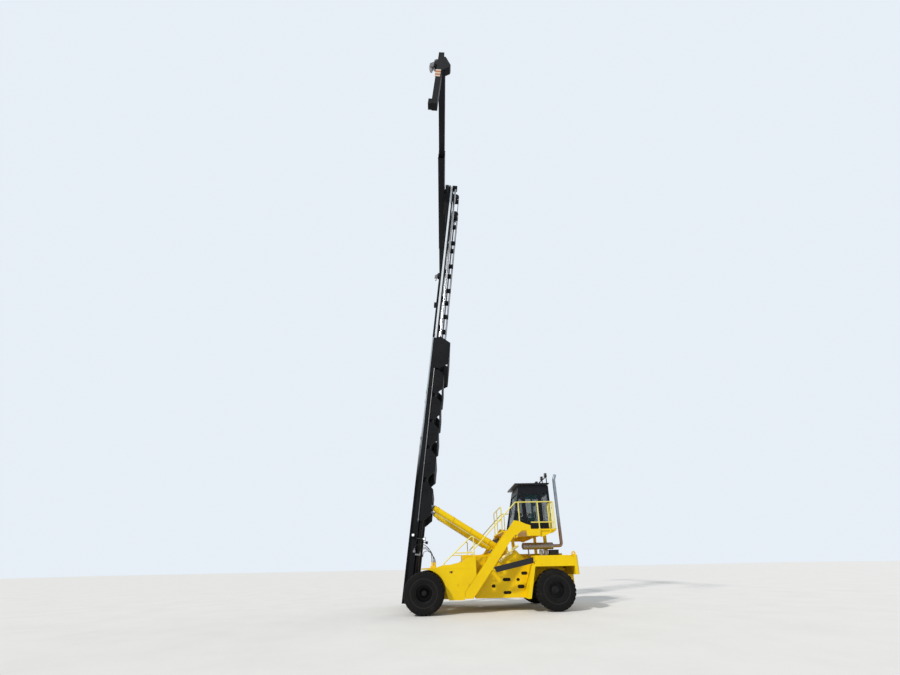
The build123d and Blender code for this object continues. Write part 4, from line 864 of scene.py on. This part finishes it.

# Dark plates on the floors of the access holes in the middle boxes, painted shade for their
# shaded insides: place, height, length, hole's height
pockets = ((-2.54, 0.86, 0.150, 0.12), (-3.04, 1.08, 0.300, 0.12), (-3.47, 1.07, 0.130, 0.11),
           (-3.72, 1.29, 0.240, 0.12), (-3.04, 0.63, 0.300, 0.11), (-3.56, 0.83, 0.260, 0.13))
pocket_floor = 1.115
shade_plate_share = 0.99
arc_steps = 12
mesh = bmesh.new()
for hand in both_sides:
    for x, z, length, height in pockets:
        radius = height / 2 * shade_plate_share
        outline = []
        for end, turn in ((1, -0.5), (-1, 0.5)):
            for i in range(arc_steps + 1):
                angle = (i / arc_steps + turn) * pi
                outline.append((x + end * (length - height) / 2 + radius * cos(angle),
                                z + radius * sin(angle)))
        add_prism(mesh, outline, hand * (pocket_floor + 0.0005), hand * (pocket_floor + 0.003))
finish_piece("hole_shade_plates", mesh, "chassis", "plastic", painted_hole_shade)

# Body trim: filler caps, hinges of the covers, the hood's handles, and bolts all round
filler_cap = ((0, 0.036), (0.012, 0.036), (0.020, 0.030), (0.022, 0.012))
hinge_size = (0.05, 0.014, 0.09)
tail_x = -5.740
hood_top = 1.99
# Rows of bolts on each side: distances from the axle, heights, radius
side_bolts = (((-1.72, -1.50, -1.28, -1.06), (0.52, 1.44), 0.010),
              ((-4.25, -4.75, -5.15), (1.60, 1.83), 0.012))
# The hood handles' bend: along from the middle, up
handle_bend = ((-0.069, 0), (-0.06, 0.03375), (-0.042, 0.045), (0.042, 0.045),
               (0.06, 0.03375), (0.069, 0))
mesh, caps = bmesh.new(), bmesh.new()
for hand in both_sides:
    outward = hand * across
    add_turned(caps, at(-0.970, hand * (side_y - 0.025), 1.380), outward, filler_cap)
    for columns, rows, size in side_bolts:
        for x in columns:
            for z in rows:
                add_bolt(mesh, at(x, hand * side_y, z), outward, size)
    for x in (-1.58, -1.18):
        add_block(mesh, at(x, hand * (side_y + hinge_size[1] / 2), 0.98), hinge_size)
    for z in (0.70, 0.84, 1.17):
        add_bolt(mesh, at(tail_x, hand * 0.58, z), -forward, 0.016)
    for i in range(5):
        add_bolt(mesh, at(-1.62 - 0.27 * i, hand * 0.57, hood_top), upright, 0.010)
    for x in (-1.90, -2.34):
        add_tube(mesh, [at(x + dx, hand * 0.30, hood_top + dz) for dx, dz in handle_bend],
                 0.007, 10)
finish_piece("body_trim", mesh, "chassis", "yellow_paint")
finish_piece("filler_caps", caps, "chassis", "plastic")

# Silencer's heat shield with its ribs
shield_length, shield_bore, shield_r, rib_r = 1.160, 0.106, 0.126, 0.131
rib_start, rib_pitch = 0.02, 0.0945
rim_r = shield_r - 0.002
profile = [(0, shield_bore), (0, rim_r)]
for i in range(12):
    reach = rib_start + i * rib_pitch
    profile += [(reach, shield_r), (reach + 0.070, shield_r), (reach + 0.076, rib_r),
                (reach + 0.088, rib_r), (reach + 0.094, shield_r)]
profile += [(shield_length, rim_r), (shield_length, shield_bore)]
mesh = bmesh.new()
add_turned(mesh, at(-3.760, 1.080, 2.260), -forward, profile, 44)
finish_piece("silencer_shield", mesh, "chassis", "exhaust_steel")

# The duct's pale sleeve and its clamps
duct_y = 1.2
duct_low, duct_knee, duct_high = (at(-2.822, duct_y, 1.716), at(-2.889, duct_y, 1.800),
                                  at(-3.545, duct_y, 2.296))
duct_dir = (duct_high - duct_knee).normalized()
sleeve = [duct_low, duct_low.lerp(duct_knee, 0.6)]
sleeve += [duct_knee.lerp(duct_high, share) for share in (0.08, 0.2, 0.4, 0.6, 0.8, 1.0)]
clamp = ((0, 0.053), (0.003, 0.057), (0.019, 0.057), (0.022, 0.053))
mesh = bmesh.new()
add_tube(mesh, sleeve, 0.052, 24)
for share in (0.25, 0.62, 0.97):
    add_turned(mesh, duct_knee.lerp(duct_high, share), duct_dir, clamp, 24)
finish_piece("duct_sleeve", mesh, "chassis", "plastic", sleeve_cream)

# Canisters and a battery box on the left rear mudguard, and a junction box on the left tank
fender_top = 1.900
mesh = bmesh.new()
for x, height in ((-4.49, 0.20), (-4.67, 0.17)):
    add_turned(mesh, at(x, 0.935, fender_top), upright,
               ((0, 0.066), (0.02, 0.072), (height, 0.072), (height + 0.012, 0.066),
                (height + 0.020, 0.040), (height + 0.030, 0.036), (height + 0.032, 0.020)), 36)
finish_piece("canisters", mesh, "chassis", "plastic", pale_shell)
battery = at(-4.96, 0.975, fender_top)
mesh = bmesh.new()
add_block(mesh, battery + upright * 0.100, (0.35, 0.21, 0.20), 0.014)
add_block(mesh, battery + upright * 0.204, (0.37, 0.23, 0.024), 0.008)
for dx in (-0.11, 0.11):
    add_block(mesh, battery + Vector((dx, 0.111, 0.150)), (0.025, 0.016, 0.09))
finish_piece("battery_box", mesh, "chassis", "plastic")
mesh = bmesh.new()
add_block(mesh, at(-1.68, 1.625, 2.085), (0.13, 0.06, 0.075), 0.012)
finish_piece("junction_box", mesh, "chassis", "plastic", pale_shell)

# Tail lamps, a red and an amber one on each side
tail_lens = ((0, 0.048), (0.016, 0.048), (0.024, 0.038), (0.026, 0.015))
red, amber = bmesh.new(), bmesh.new()
for y in (-0.46, 0.46):
    for dy, target in ((-0.06, red), (0.06, amber)):
        add_turned(target, at(tail_x, y + dy, 1.02), -forward, tail_lens)
finish_piece("tail_lamps", red, "chassis", "lamp", red_lens)
finish_piece("turn_lamps", amber, "chassis", "lamp", amber_lens)

# Lenses and rims of the work lamps on the mast and on the roof's frame
lens_profile = ((0, 0.050), (0.006, 0.050), (0.013, 0.036), (0.016, 0.012))
rim_profile = ((0, 0.047), (0.012, 0.050), (0.012, 0.056), (0, 0.058))


def make_lamps(lens_name, rim_name, body, lamps):
    """Lenses and rims at places that each look along an axis."""
    lenses, rims = bmesh.new(), bmesh.new()
    for place, axis in lamps:
        add_turned(lenses, place, axis, lens_profile)
        add_turned(rims, place, axis, rim_profile, closed=False)
    finish_piece(lens_name, lenses, body, "lamp", lamp_lens)
    finish_piece(rim_name, rims, body, "lamp")


mast_lamps = []
roof_lamps = []
for hand in both_sides:
    mast_lamps += [(on_mast(0.370, hand * 1.125, 2.07), ahead),
                   (on_mast(-0.135, hand * 1.170, 1.96), hand * across),
                   (on_mast(0.310, hand * 1.190, 2.07), hand * across)]
    roof_lamps += [(at(-5.130, hand * 0.300, 5.255), forward),
                   (at(-4.800, hand * 0.300, 4.875), forward)]
make_lamps("mast_lenses", "mast_lens_rims", "mast", mast_lamps)
make_lamps("roof_lenses", "roof_lens_rims", "chassis", roof_lamps)

# Mast trim: bolts of the cross members, caps of the hinge pins, and the lift cylinders' glands
# Cross members: where each starts and ends up the mast
member_spans = ((3.40, 4.20), (4.40, 5.62), (5.78, 6.83), (6.98, 8.08), (8.24, 9.44),
                (9.54, 11.20))
member_inset, member_face = 0.32, 1.115
hinge_cap = ((0.001, 0.085), (0.014, 0.085), (0.020, 0.078))
lift_gland = ((0, 0.086), (0.030, 0.086), (0.036, 0.078), (0.050, 0.078), (0.054, 0.0535))
mesh, glands = bmesh.new(), bmesh.new()
for hand in both_sides:
    outward = hand * across
    for low, high in member_spans:
        for w in (low + member_inset, (low + high) / 2, high - member_inset):
            for u in (-0.06, 0.02):
                add_bolt(mesh, on_mast(u, hand * member_face, w), outward, 0.015)
    add_turned(mesh, on_mast(0, hand * 1.12, 0), outward, hinge_cap, 36)
    for i in range(4):
        angle = tau * (i + 0.5) / 4
        spot = on_mast(0.055 * cos(angle), hand * 1.138, 0.055 * sin(angle))
        add_bolt(mesh, spot, outward, 0.010)
    add_turned(glands, on_mast(0.075, hand * 0.985, 11.26), up, lift_gland, 36)
finish_piece("mast_trim", mesh, "mast", "steel", black)
finish_piece("lift_glands", glands, "mast", "steel")

# Stage trim: caps of the roller pins and of the chain wheels' axles, and the crown's bolts
roller_cap = ((0, 0.030), (0.004, 0.030), (0.007, 0.024))
wheel_cap = ((0, 0.044), (0.012, 0.044), (0.018, 0.036))
crown_top, wheel_half = 21.43, 0.078
mesh = bmesh.new()
for hand in both_sides:
    for w in (10.13, 10.72):
        add_turned(mesh, on_mast(0.310, hand * 1.033, w), hand * across, roller_cap, 24)
    for u in (0.02, 0.13, 0.24):
        add_bolt(mesh, on_mast(u, hand * 0.95, crown_top), up, 0.016)
    for face in both_sides:
        add_turned(mesh, on_mast(sheave_u, hand * chain_y + face * wheel_half, sheave_w),
                   face * across, wheel_cap)
finish_piece("stage_trim", mesh, "mast_stage", "steel", black)

# Tilt cylinders: glands with their ring of bolts, and pin caps
barrel_end, flange_at, flange_r = 2.9605, 2.815, 0.12524
tilt_gland = ((0, 0.105), (0.028, 0.105), (0.034, 0.096), (0.046, 0.096), (0.050, 0.0565))
pin_cap, pin_half_length = ((0, 0.040), (0.008, 0.040), (0.012, 0.034)), 0.098
for side, hand in hands:
    offset = across * (hand * tilt_y)
    mesh = bmesh.new()
    add_turned(mesh, tilt_base + offset + tilt_dir * barrel_end, tilt_dir, tilt_gland, 36)
    for i in range(8):
        angle = tau * i / 8
        spoke = across * cos(angle) + tilt_dir.cross(across) * sin(angle)
        foot = tilt_base + offset + tilt_dir * flange_at + spoke * flange_r
        add_bolt(mesh, foot, spoke, 0.009)
    finish_piece("tilt_gland_" + side, mesh, "tilt_cylinder_" + side, "steel", dark_grey)
    mesh = bmesh.new()
    for face in both_sides:
        add_turned(mesh, tilt_head + offset + across * face * pin_half_length, face * across,
                   pin_cap)
    finish_piece("tilt_pin_caps_" + side, mesh, "tilt_piston_" + side, "steel")

# Valve block: caps and collars of the accumulators, pipe nuts, and bolts along both edges
# Accumulators: distance from the centre plane, height
block_top, bank_x = 2.210, -2.895
bank = ((-0.45, 0.40), (-0.27, 0.22), (-0.09, 0.40), (0.09, 0.22), (0.27, 0.40), (0.45, 0.40))
bank_cap = ((0, 0.030), (0.010, 0.030), (0.016, 0.022))
bank_collar = ((0, 0.064), (0.018, 0.064), (0.022, 0.057))
pipe_nut = ((0, 0.044), (0.03, 0.044), (0.036, 0.03))
mesh = bmesh.new()
for y, height in bank:
    add_turned(mesh, at(bank_x, y, block_top + height), upright, bank_cap, 6)
    add_turned(mesh, at(bank_x, y, block_top), upright, bank_collar)
    add_turned(mesh, at(-2.620, y, 2.110), forward, pipe_nut, 6)
for y in (-0.50, -0.36, -0.18, 0, 0.18, 0.36, 0.50):
    for x in (-3.02, -2.77):
        add_bolt(mesh, at(x, y, block_top), upright, 0.014)
finish_piece("valve_trim", mesh, "chassis", "steel")

# Spreader trim: bolts on the end posts, and strips above and below the two tubes' ends
post_face = 6.08
for side, hand in hands:
    mesh = bmesh.new()
    for w in (18.98, 19.14, 19.6, 20.2, 21.5, 22.05, 22.4):
        for u in (0.90, 1.04):
            add_bolt(mesh, on_mast(u, hand * post_face, w), hand * across, 0.0095)
    finish_piece("end_post_trim_" + side, mesh, "arm_" + side, "steel", black)
strip_size, strip_out, tube_height = (0.35, 0.04, 0.012), 0.006, 0.270
mesh = bmesh.new()
for y in (-2.73, 2.73):
    for low in (20.96, 21.25):
        for w in (low - strip_out, low + tube_height + strip_out):
            add_block(mesh, on_mast(0.865, y, w), strip_size, axes=(ahead, across, up))
finish_piece("spreader_trim", mesh, "spreader", "black_paint")


# Floor, light and camera

def make_floor():
    bpy.ops.mesh.primitive_plane_add(size=400, location=(0, 0, 0))
    floor = bpy.context.object
    floor.name = "studio_floor"
    look = Look("floor_grey")
    mask = look.ramp(look.noise(0.6, 6), 0.3, 0.8)
    look.surface({"Base Color": look.blended(mask, (0.74, 0.73, 0.71), (0.70, 0.69, 0.67)),
                  "Roughness": 0.85})
    floor.data.materials.append(look.material)


def make_world():
    """Even soft light, with a pale backdrop for the camera and through the glass."""
    world = bpy.data.worlds.new("studio")
    bpy.context.scene.world = world
    world.use_nodes = True
    tree = world.node_tree
    tree.nodes.clear()
    backdrop = {"Color": (0.80, 0.86, 0.93, 1), "Strength": 1.0}
    soft_light = {"Color": (0.88, 0.94, 1.0, 1), "Strength": 0.55}
    seen, lit = [add_node(tree, "Background", inputs).outputs[0]
                 for inputs in (backdrop, soft_light)]
    rays = add_node(tree, "LightPath", {}).outputs
    shown = {0: rays["Is Camera Ray"], 1: rays["Is Transmission Ray"]}
    either = add_node(tree, "Math", shown, "MAXIMUM").outputs[0]
    mix = add_node(tree, "MixShader", {"Fac": either, 1: lit, 2: seen})
    add_node(tree, "OutputWorld", {"Surface": mix.outputs[0]})


def add_sun(name, direction, strength, spread, colour):
    """A sun that shines in a direction; spread is its width in degrees."""
    lamp = bpy.data.lights.new(name, "SUN")
    lamp.energy = strength
    lamp.angle = radians(spread)
    lamp.color = colour
    holder = bpy.data.objects.new(name, lamp)
    holder.rotation_euler = Vector(direction).to_track_quat("-Z", "Y").to_euler()
    bpy.context.scene.collection.objects.link(holder)


def make_camera():
    sight = Vector((sin(camera_yaw) * cos(camera_pitch), -cos(camera_yaw) * cos(camera_pitch),
                    sin(camera_pitch)))
    right = sight.cross(upright).normalized()
    above = right.cross(sight)
    turned_right = cos(camera_roll) * right + sin(camera_roll) * above
    turned_up = -sin(camera_roll) * right + cos(camera_roll) * above
    camera = bpy.data.cameras.new("photo_camera")
    camera.sensor_width = 36
    camera.lens = camera_lens
    camera.shift_x, camera.shift_y = camera_shift
    camera.clip_end = 500
    holder = bpy.data.objects.new("photo_camera", camera)
    axes = Matrix((turned_right, turned_up, -sight)).transposed()
    holder.matrix_world = Matrix.Translation(camera_place) @ axes.to_4x4()
    bpy.context.scene.collection.objects.link(holder)
    bpy.context.scene.camera = holder


make_floor()
make_world()
add_sun("key_light", (-0.55, -0.50, -0.67), 2.5, 4, (1.0, 0.97, 0.92))
add_sun("fill_light", (0.6, 0.4, -0.5), 0.5, 40, (0.95, 0.97, 1.0))
make_camera()
bpy.context.scene.view_settings.view_transform = "Standard"
